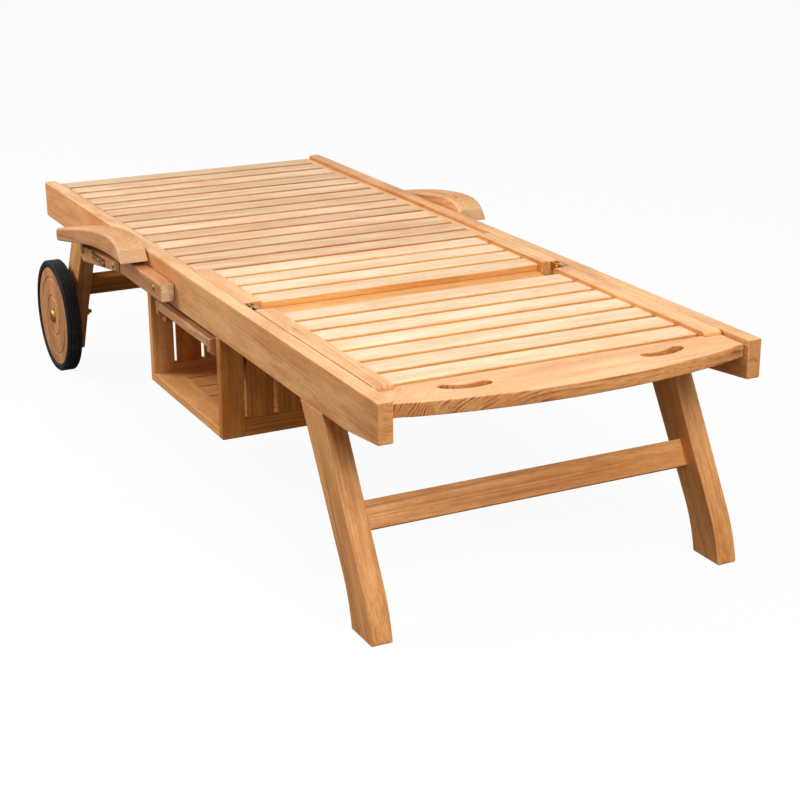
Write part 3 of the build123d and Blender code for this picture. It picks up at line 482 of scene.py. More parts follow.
def milled(outline, low, high, axis="X", ease=0.0015, holes=(), corner=None, steps=3):
    """A board between two values on its milling axis, as (points, faces, edge marks, smooth marks).

    The outline is (Y, Z) for axis X, (Z, X) for axis Y and (X, Y) for axis Z.
    """
    ease = min(ease, abs(high - low) * 0.45)
    reach = ease if corner is None else corner
    loops = [counter_clockwise(list(outline))]
    loops += [list(reversed(counter_clockwise(list(hole)))) for hole in holes]
    levels = quarter_steps(ease, steps)
    rings = [(low + rise, inset) for inset, rise in levels]
    rings += [(high - rise, inset) for inset, rise in reversed(levels)]
    flat_rings = (0, steps, steps + 1, len(rings) - 1)
    points, faces, edges, smooth, starts, flats = [], [], [], [], [], []
    for loop in loops:
        sharp = sharp_corners(loop)
        flat = [Vector(spot) for spot, mark in rounded(loop, sharp, reach)]
        size = len(flat)
        starts.append((len(points), size))
        runs = [(flat[(i + 1) % size] - flat[i]).length for i in range(size)]
        for number, (level_at, inset) in enumerate(rings):
            worn = 0.0 if number in flat_rings else 1.0
            ring = rounded(shrunk(loop, inset), sharp, max(reach - inset, reach * 0.1))
            points += [on_axis[axis](u, v, level_at) for (u, v), mark in ring]
            edges += [max(worn, mark) for spot, mark in ring]
        flats.append([Vector((*spot, 0)) for spot, mark in ring])
        for number in range(len(rings) - 1):
            for i in range(size):
                j = (i + 1) % size
                a = starts[-1][0] + number * size
                faces.append((a + i, a + j, a + size + j, a + size + i))
                smooth.append(number != steps or runs[i] < 4 * min(runs[i - 1], runs[j]))
    for top in (False, True):
        starts_here = [start + (len(rings) - 1) * size * top for start, size in starts]
        order = [start + i for start, (first, size) in zip(starts_here, starts) for i in range(size)]
        if len(loops) == 1:
            caps = [order if top else order[::-1]]
        else:
            every = sum(flats, [])
            caps = []
            for triangle in tessellate_polygon(flats):
                a, b, c = (every[k] for k in triangle)
                upwards = (b - a).cross(c - a).z > 0
                caps.append([order[k] for k in (triangle if upwards == top else reversed(triangle))])
        faces += [tuple(cap) for cap in caps]
        smooth += [False] * len(caps)
    return points, faces, edges, smooth


def oblong(a, b, c, d):
    """A rectangle between two values each way."""
    return [(a, c), (b, c), (b, d), (a, d)]


def plank(low, high, ease=0.0015):
    """An upright or lying board between two corners, milled along X."""
    return milled(oblong(low[1], high[1], low[2], high[2]), low[0], high[0], "X", ease)


print("a plank has", len(plank((0, 0, 0), (1, 0.1, 0.02))[0]), "points")

# %% [markdown]
# ## Seasoning a board
# To season a board is to say how it was cut: which way its fibres run, how far it lay from
# the heart of the log and how dark it is. These go onto the mesh as attributes, which the
# teak finish reads. The random numbers have a fixed seed, so each run cuts the same boards.

# %% Season a board


def seasoned(board, along, seed, heart=(0.035, 0.13), slope=0.02, bend=(0.0, 0.0), spin=None):
    """The board with its grain, tone and end values.

    A bend is a place along the board, and how hard the log curves before it.
    """
    points, faces, edges, smooth = board
    dice = random.Random(seed)
    fibre = Vector(along).normalized()
    side = fibre.orthogonal().normalized()
    side.rotate(Matrix.Rotation(dice.uniform(0, 2 * math.pi) if spin is None else spin, 3, fibre))
    other = fibre.cross(side)
    middle = sum((Vector(p) for p in points), Vector()) / len(points)
    offset = Vector((dice.uniform(0, 20), dice.uniform(*heart), dice.uniform(-0.02, 0.02)))
    run_out = (dice.uniform(-slope, slope), dice.uniform(-slope, slope))
    tone = dice.random()
    grain = []
    for p in points:
        away = Vector(p) - middle
        x, y, z = away.dot(fibre), away.dot(side), away.dot(other)
        swing = bend[1] * max(0.0, bend[0] - x) ** 2
        grain.append((x + offset.x, y + run_out[0] * x + offset.y + swing, z + run_out[1] * x + offset.z))
    ends = []
    for face in faces:
        a, b, c = (Vector(points[k]) for k in face[:3])
        normal = (b - a).cross(c - b)
        ends.append(1.0 if normal.length and abs(normal.normalized().dot(fibre)) > 0.75 else 0.0)
    return points, faces, edges, smooth, grain, [tone] * len(points), ends


print("season", len(seasoned(plank((0, 0, 0), (1, 0.1, 0.02)), (1, 0, 0), "trial")), "lists")

# %% Put a piece on its body


def settle(name, mesh, body, stands_for):
    """An object that rides on a body, in place of the CAD nodes that it stands for."""
    made = bpy.data.objects.new(name, mesh)
    scene.collection.objects.link(made)
    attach(made, body)
    if stands_for:
        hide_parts(*stands_for)
    return made


def piece(name, boards, finish, body, stands_for):
    """One object from seasoned boards."""
    mesh = bpy.data.meshes.new(name)
    points, faces = [], []
    columns = {"edge": [], "smooth": [], "grain": [], "tone": [], "end": []}
    for board in boards:
        faces += [tuple(len(points) + k for k in face) for face in board[1]]
        points += [Vector(p) for p in board[0]]
        for column, values in zip(columns.values(), board[2:]):
            column += values
    mesh.from_pydata(points, [], faces)
    mesh.polygons.foreach_set("use_smooth", columns["smooth"])
    for key, domain in (("edge", "POINT"), ("tone", "POINT"), ("end", "FACE")):
        mesh.attributes.new(key, "FLOAT", domain).data.foreach_set("value", columns[key])
    grain = mesh.attributes.new("grain", "FLOAT_VECTOR", "POINT")
    grain.data.foreach_set("vector", [value for vector in columns["grain"] for value in vector])
    mesh.materials.append(finish)
    mesh.update()
    return settle(name, mesh, body, stands_for)


def lay(name, board, along, seed, finish, body, node, **growth):
    """A piece of one board, in place of one node."""
    return piece(name, [seasoned(board, along, seed, **growth)], finish, body, [node])


def on_side(board, side):
    """A board that was made for the left side, put on a side: left -1, right 1."""
    points, faces, edges, smooth = board
    if side < 0:
        return board
    return [(-x, y, z) for x, y, z in points], [tuple(reversed(face)) for face in faces], edges, smooth


sides = (("left", -1), ("right", 1))


def pair(name, board, along, seed, finish, body, node, **growth):
    """A left board and its mirror image; {} stands for the side in the names and the seed."""
    for label, side in sides:
        own_name, own_seed, own_body, own_node = (text.format(label) for text in (name, seed, body, node))
        lay(own_name, on_side(board, side), along, own_seed, finish, own_body, own_node, **growth)


print("board tools ready")

# %% [markdown]
# ## Sizes
# The whole lounger is drawn for its left side, in metres. The rails give the rest, and most
# places along the lounger are counted from their foot end.

# %% Shared sizes
nose_reach = 0.038
foot, head = cad_low.y + nose_reach, cad_high.y
rail_out, rail_in = 0.395, 0.365
rail_top, rail_low = 0.465, 0.375
slat_top, slat_low = 0.456, 0.441
stile_low, round_end = 0.417, 0.012
ease = 0.002
across_x, along_y, upright_z = (1, 0, 0), (0, 1, 0), (0, 0, 1)
print("rails from", round(foot, 3), "to", round(head, 3))

# %% [markdown]
# ## Side rails
# A rail is a straight plank that tapers a little underneath at the foot end. Its end shows
# the rings of the log.

# %% Side rails
taper_length, taper_rise, rail_ease = 0.135, 0.014, 0.003
rail_outline = [(foot, rail_top), (head, rail_top), (head, rail_low), (foot + taper_length, rail_low),
                (foot, rail_low + taper_rise)]
rail = milled(rail_outline, -rail_out, -rail_in, "X", rail_ease)
pair("{}_rail", rail, along_y, "rail {}", rail_teak, "frame", "{}_side_rail", slope=0.008)

# %% [markdown]
# ## Legs
# The front legs run straight down and then bend forward in an arc, and the rear legs are
# bowed a little. The outline is made of straight runs and sampled arcs, as a band saw would
# follow them.

# %% Arcs


def arc_through(start, middle, stop, count=14):
    """Points on the circle through three points, from the first to the last."""
    (ax, ay), (bx, by), (cx, cy) = start, middle, stop
    d = 2 * (ax * (by - cy) + bx * (cy - ay) + cx * (ay - by))
    if abs(d) < 1e-12:
        return [start, middle, stop]
    a2, b2, c2 = ax * ax + ay * ay, bx * bx + by * by, cx * cx + cy * cy
    ox = (a2 * (by - cy) + b2 * (cy - ay) + c2 * (ay - by)) / d
    oy = (a2 * (cx - bx) + b2 * (ax - cx) + c2 * (bx - ax)) / d
    size = math.hypot(ax - ox, ay - oy)
    first, mid, last = (math.atan2(y - oy, x - ox) for x, y in (start, middle, stop))
    sweep = (last - first) % (2 * math.pi)
    if (mid - first) % (2 * math.pi) > sweep:
        sweep -= 2 * math.pi
    angles = [first + sweep * k / count for k in range(count + 1)]
    return [(ox + size * math.cos(angle), oy + size * math.sin(angle)) for angle in angles]


def arc_from(start, along, stop, count=12):
    """An arc that leaves a point in a direction and ends at another point."""
    heading, chord = Vector(along).normalized(), Vector(stop) - Vector(start)
    turned = math.atan2(heading.x * chord.y - heading.y * chord.x, heading.dot(chord))
    normal = Vector((chord.y, -chord.x)).normalized()
    middle = (Vector(start) + Vector(stop)) / 2 + normal * chord.length / 2 * math.tan(turned / 2)
    return arc_through(start, (middle.x, middle.y), stop, count)


def quarter(centre, size, first, last, steps=6):
    """Points on a quarter round, by its angles in degrees."""
    angles = [math.radians(first + (last - first) * k / steps) for k in range(steps + 1)]
    return [(centre[0] + size * math.cos(a), centre[1] + size * math.sin(a)) for a in angles]


print("arcs ready", quarter((0, 0), 1, 0, 90, 1))

# %% Cut the legs
ankle_height, sole_height, leg_ease = 0.100, 0.042, 0.003
front_thick, rear_thick, rear_bow = 0.043, 0.038, 0.009
front_top, front_ankle = (foot + 0.229, rail_low), (foot + 0.070, ankle_height)
front_sole = (foot + 0.034, 0.0)
front_widths, rear_widths = (0.097, 0.085, 0.083), (0.096, 0.084)
rear_top, rear_sole = (head - 0.326, rail_low), (head - 0.143, sole_height)


def bent_edge(top, ankle, sole):
    """An edge that runs straight to the ankle and then bends to the sole."""
    return [top] + arc_from(ankle, (ankle[0] - top[0], ankle[1] - top[1]), sole)


def bowed_edge(start, stop):
    """An edge that swells a little towards the head end."""
    return arc_through(start, ((start[0] + stop[0]) / 2 + rear_bow, (start[1] + stop[1]) / 2), stop)


def leg_outline(edge, corners, widths):
    """A leg between an edge and the same kind of edge further back."""
    behind = [(y + width, z) for (y, z), width in zip(corners, widths)]
    return edge(*corners) + edge(*behind)[::-1]


front_outline = leg_outline(bent_edge, (front_top, front_ankle, front_sole), front_widths)
rear_outline = leg_outline(bowed_edge, (rear_top, rear_sole), rear_widths)
front_run = (0, front_ankle[0] - front_top[0], front_ankle[1] - front_top[1])
rear_run = (0, rear_sole[0] - rear_top[0], rear_sole[1] - rear_top[1])
front_leg = milled(front_outline, -rail_out, -rail_out + front_thick, "X", leg_ease)
rear_leg = milled(rear_outline, -rail_out, -rail_out + rear_thick, "X", leg_ease)
pair("{}_foot_leg", front_leg, front_run, "front {}", leg_teak, "frame", "{}_front_leg")
pair("{}_head_leg", rear_leg, rear_run, "rear {}", leg_teak, "frame", "{}_rear_leg")
print("leg outline points", len(front_outline), len(rear_outline))

# %% [markdown]
# ## Stretchers and cross rails
# Each stretcher leans with its legs. The outline is turned before it is milled across. The
# cross rails are plain planks as large as their CAD solids, apart from the wide board in the
# knee gap, which is broader between the seat stiles.

# %% Stretchers
stretcher_thick, stretcher_tall = 0.025, 0.054
front_height, rear_height = 0.187, 0.226
front_half, rear_half = 0.362, 0.367
behind_edge, before_head = 0.0545, 0.188


def leaning(middle, run):
    """A stretcher's section about a point, tall along the leg's run."""
    up = Vector((-run[1], -run[2])).normalized() * stretcher_tall / 2
    along = Vector((up.y, -up.x)).normalized() * stretcher_thick / 2
    corners = ((-1, -1), (1, -1), (1, 1), (-1, 1))
    return [(middle[0] + along.x * a + up.x * b, middle[1] + along.y * a + up.y * b) for a, b in corners]


share = (front_height - front_top[1]) / (front_ankle[1] - front_top[1])
edge_y = front_top[0] + (front_ankle[0] - front_top[0]) * share
front_middle, rear_middle = (edge_y + behind_edge, front_height), (head - before_head, rear_height)
board = milled(leaning(front_middle, front_run), -front_half, front_half, "X", ease)
lay("foot_stretcher", board, across_x, "stretcher 4", leg_teak, "frame", "front_stretcher", slope=0.01)
board = milled(leaning(rear_middle, rear_run), -rear_half, rear_half, "X", ease)
# The rear stretcher takes the darker teak as painted shade.
lay("head_stretcher", board, across_x, "stretcher rear", box_teak, "frame", "rear_stretcher")
print("stretchers at", [round(v, 3) for v in front_middle + rear_middle])

# %% Cross rails under the panels
for node in ("seat_cross_rail", "mid_cross_rail", "head_cross_rail"):
    lay(node + "_board", plank(*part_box(node), ease), across_x, node, rail_teak, "frame", node)
board = plank(*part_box("leg_head_rail"), ease)
lay("leg_head_rail_board", board, across_x, "leg head", rail_teak, "leg", "leg_head_rail")
low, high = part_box("knee_cross_rail")
narrow, wide, seat_from, seat_to = 0.322, 0.326, foot + 0.667, foot + 0.957
tee = [(narrow, low.y), (narrow, seat_from), (wide, seat_from), (wide, high.y)]
tee = [(-x, y) for x, y in tee[::-1]] + tee
knee_teak = teak("knee_teak", ((244, 186, 118), (228, 160, 90), (170, 104, 46)), (0.5, 0.3, 0.6))
board = milled(tee, low.z, high.z, "Z", ease)
lay("knee_board", board, across_x, "knee board 2", knee_teak, "frame", "knee_cross_rail")
print("cross rails done")

# %% [markdown]
# ## Slats
# Slats repeat, so Geometry Nodes lay them out. The tree draws the rounded section of one
# slat, sweeps it along its length, writes the grain on it, and puts one copy on each point
# of a row. Each copy gets its own piece of the log. The tree ends in Realize Instances and
# Set Material, and its result is turned into a plain mesh.

# %% The recipe of a row


class Shape(Recipe):
    """A recipe for geometry."""

    def shape(self, kind, *values, **words):
        """The first output of a geometry node."""
        return self.add("GeometryNode" + kind, *values, **words).outputs[0]

    def store(self, geometry, name, kind, domain, value):
        """Geometry that carries one more named value."""
        words = {"Geometry": geometry, "Name": name, "Value": value}
        return self.shape("StoreNamedAttribute", data_type=kind, domain=domain, **words)

    def soft_oblong(self, width, height, radius):
        """A rectangle with round corners, as a curve."""
        sharp = self.shape("CurvePrimitiveQuadrilateral", Width=width, Height=height)
        return self.shape("FilletCurve", Curve=sharp, Radius=radius, Count=3, mode="POLY")

    def row(self, start, step, count, item, **words):
        """Copies of an item, one step apart."""
        travel = self.vectors("SCALE", step, Scale=self.shape("InputIndex"))
        spots = self.shape("Points", Count=count, Position=self.vectors("ADD", start, travel))
        return self.shape("InstanceOnPoints", Points=spots, Instance=item, **words)

    def finished(self, geometry, finish, result):
        """Real geometry with its finish, as the result of the tree."""
        dressed = self.shape("SetMaterial", Geometry=geometry, Material=finish)
        self.join(dressed, result["Geometry"])


def shape_tree(name, inputs):
    """A tree for geometry, as (recipe, input sockets, output sockets)."""
    recipe, given, result = new_group(name, "GeometryNodeTree", inputs, [("Geometry", "Geometry")])
    return Shape(recipe.tree), given, result


def grown(name, recipe, values, body, stands_for):
    """Run a tree with its input values and keep the result as a plain mesh on a body."""
    carrier = bpy.data.objects.new(name + "_carrier", bpy.data.meshes.new(name))
    scene.collection.objects.link(carrier)
    modifier = carrier.modifiers.new("grow", "NODES")
    modifier.node_group = recipe.tree
    for item in recipe.tree.interface.items_tree:
        if item.item_type == "SOCKET" and item.in_out == "INPUT" and item.name in values:
            modifier[item.identifier] = values[item.name]
    graph = bpy.context.evaluated_depsgraph_get()
    evaluated = carrier.evaluated_get(graph)
    mesh = bpy.data.meshes.new_from_object(evaluated, preserve_all_data_layers=True, depsgraph=graph)
    bpy.data.objects.remove(carrier)
    mesh.name = name
    made = settle(name, mesh, body, stands_for)
    low, high = ([round(value, 4) for value in made.bound_box[corner]] for corner in (0, 6))
    print(name, len(mesh.polygons), "faces", low, high)


print("row words ready")

# %% The slat row tree
slats, given, result = shape_tree("slat row", [
    ("Count", "Int", 4), ("Start", "Vector", (0, 0, 0)), ("Step", "Vector", (0, 0.07, 0)),
    ("Size", "Vector", (0.6, 0.05, 0.015)), ("Edge Radius", "Float", 0.0025),
    ("Turn", "Rotation", None), ("Seed", "Int", 1), ("Finish", "Material", None),
])
stops_on_slat, skin = 9, 0.00005
size = slats.parts(given["Size"])
half = slats.times(size["X"], 0.5)
section = slats.soft_oblong(size["Y"], size["Z"], given["Edge Radius"])
first, last = slats.vector(Z=slats.times(half, -1.0)), slats.vector(Z=half)
run = slats.shape("CurvePrimitiveLine", Start=first, End=last)
run = slats.shape("ResampleCurve", Curve=run, Count=stops_on_slat)
swept = slats.shape("CurveToMesh", Curve=run, Profile_Curve=section, Fill_Caps=True)
laid = slats.shape("Transform", Geometry=swept, Rotation=(math.radians(90), 0.0, math.radians(90)))
print("slat row so far", len(slats.nodes), "nodes")

# %% Write the grain and lay out the row
spot = slats.shape("InputPosition")
place, normal = slats.parts(spot), slats.parts(slats.shape("InputNormal"))
least_for_end, least_for_flat = 0.7, 0.985
facing = {letter: slats.maths("ABSOLUTE", normal[letter]) for letter in "XYZ"}
sunk = []
for letter in ("Y", "Z"):
    away = slats.maths("ABSOLUTE", place[letter])
    sunk.append(slats.maths("LESS_THAN", away, slats.minus(slats.times(size[letter], 0.5), skin)))
at_end = slats.maths("GREATER_THAN", facing["X"], least_for_end)
round_face = slats.maths("LESS_THAN", slats.maths("MAXIMUM", facing["Y"], facing["Z"]), least_for_flat)
soft = slats.times(round_face, slats.minus(1.0, at_end))
board = slats.store(laid, "grain", "FLOAT_VECTOR", "POINT", spot)
board = slats.store(board, "edge", "FLOAT", "POINT", slats.times(*sunk))
board = slats.store(board, "end", "FLOAT", "FACE", at_end)
board = slats.shape("SetShadeSmooth", Geometry=board, Shade_Smooth=False, domain="FACE")
board = slats.shape("SetShadeSmooth", Geometry=board, Selection=soft, Shade_Smooth=True, domain="FACE")
row = slats.row(given["Start"], given["Step"], given["Count"], board, Rotation=given["Turn"])
log = {"Min": (0.0, 0.03, -0.02), "Max": (20.0, 0.12, 0.02), "Seed": given["Seed"]}
cut = slats.add("FunctionNodeRandomValue", data_type="FLOAT_VECTOR", **log).outputs["Value"]
dark = slats.add("FunctionNodeRandomValue", data_type="FLOAT", Seed=slats.plus(given["Seed"], 7.0)).outputs[1]
row = slats.store(row, "cut", "FLOAT_VECTOR", "INSTANCE", cut)
row = slats.store(row, "tone", "FLOAT", "INSTANCE", dark)
row = slats.shape("RealizeInstances", Geometry=row)
read = [slats.shape("InputNamedAttribute", Name=name, data_type="FLOAT_VECTOR") for name in ("grain", "cut")]
row = slats.store(row, "grain", "FLOAT_VECTOR", "POINT", slats.vectors("ADD", *read))
slats.finished(row, given["Finish"], result)
print("slat row", len(slats.nodes), "nodes")

# %% [markdown]
# Each row gives the tree its first place, its step and its size. The last seat slat stands
# past the ends of its stiles, so it is a little shorter than the others.

# %% Lay the rows


def row_of(name, count, start, step, sizes, seed, finish, body, stands_for, turn=(0, 0, 0), edge=0.0025):
    """One row of slats, as a piece on a body."""
    values = {"Count": count, "Start": start, "Step": step, "Size": sizes, "Edge Radius": edge,
              "Seed": seed, "Finish": finish, "Turn": turn}
    grown(name, slats, values, body, stands_for)


slat_gap = 0.014
for name, count, start, stop, half, seed, finish, body, stands_for in (
    ("leg_panel_slats", 7, 0.105, 0.598, 0.332, 11, slat_teak, "leg", ["leg_slats"]),
    ("seat_panel_slats", 3, 0.687, 0.892, 0.334, 23, slat_teak, "frame", ["seat_slats"]),
    ("seat_rear_slat", 1, 0.906, 0.965, 0.326, 31, slat_teak, "frame", []),
    ("back_panel_slats", 14, 0.980, 2.000, 0.3485, 47, back_teak, "back", ["back_slats"]),
):
    width = (stop - start - slat_gap * (count - 1)) / count
    at = (0, foot + start + width / 2, (slat_top + slat_low) / 2)
    sizes = (half * 2, width, slat_top - slat_low)
    row_of(name, count, at, (0, width + slat_gap, 0), sizes, seed, finish, body, stands_for)

# %% [markdown]
# ## Stiles
# The stiles of the seat and the leg panel stand level with the rails, and the slats are let
# into them. The leg stiles have a round end, and a notch that sits on the end board. The
# stiles of the back have a low lip beside the slats and a ledge under them.

# %% Stiles of the seat and the leg panel
leg_out, leg_in, seat_out, seat_in, stile_ease = 0.363, 0.324, 0.365, 0.326, 0.0018
leg_from, leg_to, board_back, board_low = foot + 0.078, foot + 0.621, foot + 0.091, 0.429
leg_stile = [(board_back, board_low), (leg_from, board_low), (leg_from, stile_low), (leg_to, stile_low)]
leg_stile += quarter((leg_to - round_end, rail_top - round_end), round_end, 0, 90)
leg_stile += quarter((leg_from + round_end, rail_top - round_end), round_end, 90, 165)
leg_stile += [(board_back, slat_top)]
seat_stile = oblong(seat_from, seat_to, stile_low, rail_top)
board = milled(leg_stile, -leg_out, -leg_in, "X", stile_ease)
pair("{}_leg_side", board, along_y, "leg stile {}", rail_teak, "leg", "{}_leg_stile", slope=0.01)
board = milled(seat_stile, -seat_out, -seat_in, "X", stile_ease)
pair("{}_seat_side", board, along_y, "seat stile {}", rail_teak, "frame", "{}_seat_stile", slope=0.01)
print("stile points", len(leg_stile))

# %% Stiles of the back
back_from, back_low = foot + 0.980, slat_top - 0.044
back_out, back_step, back_in, lip_ease, ledge_ease = 0.3625, 0.3485, 0.330, 0.0012, 0.0008
bar_y, bar_z, notch = 0.64168, 0.4101, 0.0074
dip = math.degrees(math.asin((back_low - bar_z) / notch))


def back_outline(top):
    """A strip with rounded lower ends and a notch over the prop's bar."""
    outline = [(back_from, top)] + quarter((back_from + round_end, back_low + round_end), round_end, 180, 270)
    outline += quarter((bar_y, bar_z), notch, 180 - dip, dip, 8)
    return outline + quarter((head - round_end, back_low + round_end), round_end, 270, 360) + [(head, top)]


lip = milled(back_outline(slat_top), -back_out, -back_step, "X", lip_ease)
ledge = milled(back_outline(slat_low), -back_step, -back_in, "X", ledge_ease)
for label, side in sides:
    strips = [on_side(strip, side) for strip in (lip, ledge)]
    strips = [seasoned(strip, along_y, f"back stile {label}", slope=0.01) for strip in strips]
    piece(f"{label}_back_side", strips, rail_teak, "back", [f"{label}_back_stile"])
print("back stiles from", round(back_from, 3))

# %% [markdown]
# ## End board
# The board at the foot has a bowed front and two hand slots that follow the bow. Its rings
# run out at the bowed edge, where the saw crossed them.

# %% Outline of the end board
cove, board_side, shoulder, nose = 0.329, foot + 0.011, foot + 0.002, foot - nose_reach
left_cove = arc_from((-leg_out, board_side), (1, 0), (-cove, shoulder), 8)
bow = arc_through((-cove, shoulder), (0, nose), (cove, shoulder), 56)
right_cove = [(-x, y) for x, y in reversed(left_cove)]
board_outline = [(-leg_out, board_back)] + left_cove[:-1] + bow + right_cove[1:] + [(leg_out, board_back)]
slot_centre, slot_spread, slot_half, slot_back, slot_bow = 0.205, 0.038, 0.011, 0.050, 0.009


def reach_of_front(x):
    """How far the front reaches past the rails' ends, as a parabola close to the bow."""
    return nose_reach - (nose_reach + shoulder - foot) * (x / cove) ** 2


def slot_outline(sign):
    """A slot with round ends that follows the bowed front, and bows a little more itself."""
    stops = []
    for step, bow_share in ((-1, 0.5), (0, -0.5), (1, 0.5)):
        x = slot_centre + step * slot_spread
        rise = reach_of_front(slot_centre) - reach_of_front(x) + slot_bow * bow_share
        stops.append((sign * x, board_back - slot_back + rise))
    spine = [Vector(p) for p in arc_through(*stops, 12)]
    normals = []
    for k in range(len(spine)):
        along = spine[min(k + 1, len(spine) - 1)] - spine[max(k - 1, 0)]
        normals.append(Vector((-along.y, along.x)).normalized() * slot_half)
    outline = [p + n for p, n in zip(spine, normals)]
    below = [p - n for p, n in zip(spine, normals)][::-1]
    turns = [Matrix.Rotation(-math.pi * k / 10, 2) for k in range(1, 10)]
    outline += [spine[-1] + turn @ normals[-1] for turn in turns] + below
    outline += [spine[0] - turn @ normals[0] for turn in turns]
    return [(p.x, p.y) for p in outline]


print("end board outline", len(board_outline), "points")

# %% Cut the end board
slots = [slot_outline(-1), slot_outline(1)]
board_ease, board_corner = 0.003, 0.002
board = milled(board_outline, board_low, slat_top, "Z", board_ease, slots, board_corner, steps=4)
board_teak = teak("board_teak", ((238, 170, 104), (214, 142, 78), (112, 52, 16)), (1.0, 0.90, 0.4),
                  (255, 208, 162), top_figure=0.10, ring_width=0.0085)
log = {"heart": (0.05, 0.06), "slope": 0.0, "bend": (-0.05, 1.8), "spin": 0.0}
lay("foot_board", board, across_x, "end board 6", board_teak, "leg", "end_board", **log)

# %% [markdown]
# ## Armrests and posts
# An armrest is sawn from a thick plank in a falling curve, and its edges are rounded much
# more than those of the other boards. The curve runs smoothly through a few heights, which
# are shares of the arm's length and of its fall.

# %% Draw the armrest


def flowing(stops, count=7):
    """Points on a smooth curve through a few (place, height) stops."""
    slopes = []
    for k in range(len(stops)):
        (x0, z0), (x1, z1) = stops[max(k - 1, 0)], stops[min(k + 1, len(stops) - 1)]
        slopes.append((z1 - z0) / (x1 - x0))
    made = []
    for (x0, z0), (x1, z1), m0, m1 in zip(stops, stops[1:], slopes, slopes[1:]):
        for k in range(count):
            t = k / count
            height = (1 + 2 * t) * (1 - t) ** 2 * z0 + t * (1 - t) ** 2 * (x1 - x0) * m0
            height += t * t * (3 - 2 * t) * z1 + t * t * (t - 1) * (x1 - x0) * m1
            made.append((x0 + (x1 - x0) * t, height))
    return made + [stops[-1]]


def arm_line(shares, start, fall):
    """A smooth line along the armrest, from shares of its length and of its fall."""
    return flowing([(arm_low.y + arm_length * along, start - fall * share) for along, share in shares])


arm_low, arm_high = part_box("left_armrest")
arm_length = arm_high.y - arm_low.y
crown, nose_under, top_fall, under_fall = 0.488, 0.443, 0.073, 0.060
top_shares = ((0.0, 0.6), (0.029, 0.27), (0.086, 0.055), (0.19, 0.0), (0.384, 0.137), (0.608, 0.404),
              (1.0, 1.0))
under_shares = ((0.0, 0.0), (0.19, 0.0), (0.4, 0.133), (0.626, 0.417), (0.866, 0.8), (1.0, 1.0))
arm_top, arm_under = arm_line(top_shares, crown, top_fall), arm_line(under_shares, nose_under, under_fall)
print("armrest", len(arm_top), "stops from", round(arm_low.y, 3), "to", round(arm_high.y, 3))

# %% [markdown]
# The armrest is a row of round-edged sections between the two curves. A closed shell like
# this one, or a turned one, is built in any order and then told to look outwards.

# %% Cut the armrests


def outward(points, faces):
    """The faces of a closed shell, all turned to look outwards, in the same order."""
    shell = bmesh.new()
    held = [shell.verts.new(p) for p in points]
    for face in faces:
        shell.faces.new([held[k] for k in face])
    bmesh.ops.recalc_face_normals(shell, faces=shell.faces)
    shell.verts.index_update()
    turned_faces = [tuple(v.index for v in face.verts) for face in shell.faces]
    shell.free()
    return turned_faces


def height_at(line, y):
    """The height of a (place, height) line at a place."""
    for (a, low), (b, high) in zip(line, line[1:]):
        if a <= y <= b:
            return low + (high - low) * (y - a) / (b - a)
    return line[-1][1]


def swelling(x_low, x_high, top, under, ease, worn_reach=0.06, steps=5):
    """A board of round-edged sections between a top and an under line; its nose is painted paler, for wear
    from hands and as a painted highlight.
    """
    tail = top[-1][0]
    places = [(y, 0.0) for y, z in top if y < tail - ease]
    places += [(tail - inset, rise) for inset, rise in quarter_steps(ease, steps)]
    points, faces, edges, smooth = [], [], [], []
    for y, inset in places:
        low, high = height_at(under, y) + inset, height_at(top, y) - inset
        section = oblong(x_low + inset, x_high - inset, low, high)
        section = rounded(section, [True] * 4, min(ease, (high - low) * 0.45), steps)
        points += [(x, y, z) for (x, z), mark in section]
        # Near the nose the whole section is painted paler: wear from hands and a painted highlight.
        worn = max(0.0, 1.0 - (y - places[0][0]) / worn_reach)
        edges += [max(mark * 0.5, worn) for spot, mark in section]
    size = len(points) // len(places)
    for start in range(0, len(points) - size, size):
        for i in range(size):
            j = (i + 1) % size
            faces.append((start + i, start + j, start + size + j, start + size + i))
            smooth.append(True)
    faces += [tuple(range(start, start + size)) for start in (0, len(points) - size)]
    return points, outward(points, faces), edges, smooth + [False, False]


arm_gap, arm_wide, arm_ease = 0.003, 0.064, 0.0075
arm = swelling(-rail_out - arm_gap - arm_wide, -rail_out - arm_gap, arm_top, arm_under, arm_ease)
fibre = (0, 1, -0.12)
pair("{}_arm", arm, fibre, "arm {} 2", arm_teak, "{}_armrest", "{}_armrest", heart=(0.08, 0.12), slope=0.01)

# %% Posts under the armrests
front_pivot, rear_pivot = (0.060, 0.414), (0.347, 0.396)
post_gap, post_wide, post_ease, post_corner = 0.0004, 0.032, 0.004, 0.0035
post_in, post_out = rail_out + post_gap, rail_out + post_gap + post_wide
front_post = [(0.014, 0.390), (0.330, 0.390), (0.330, 0.424), (0.323, 0.431), (0.014, 0.431)]
rear_post = [(0.336, 0.385), (0.596, 0.349), (0.609, 0.362), (0.609, 0.388), (0.336, 0.408)]
for word, outline, run in (("front", front_post, along_y), ("rear", rear_post, (0, 1, -0.1))):
    post = milled(outline, -post_out, -post_in, "X", post_ease, corner=post_corner, steps=4)
    name, node, seed = "{}_" + word + "_arm_post", "{}_" + word + "_post", word + " post {} 3"
    pair(name, post, run, seed, post_teak, node, node, heart=(0.03, 0.05))

# %% [markdown]
# ## Storage box and tray
# The box hangs under the left rail. Each end is a frame with two upright slats, and the
# floor is a row of slats between two edge boards. The slat row tree serves here again,
# turned upright or laid the other way.

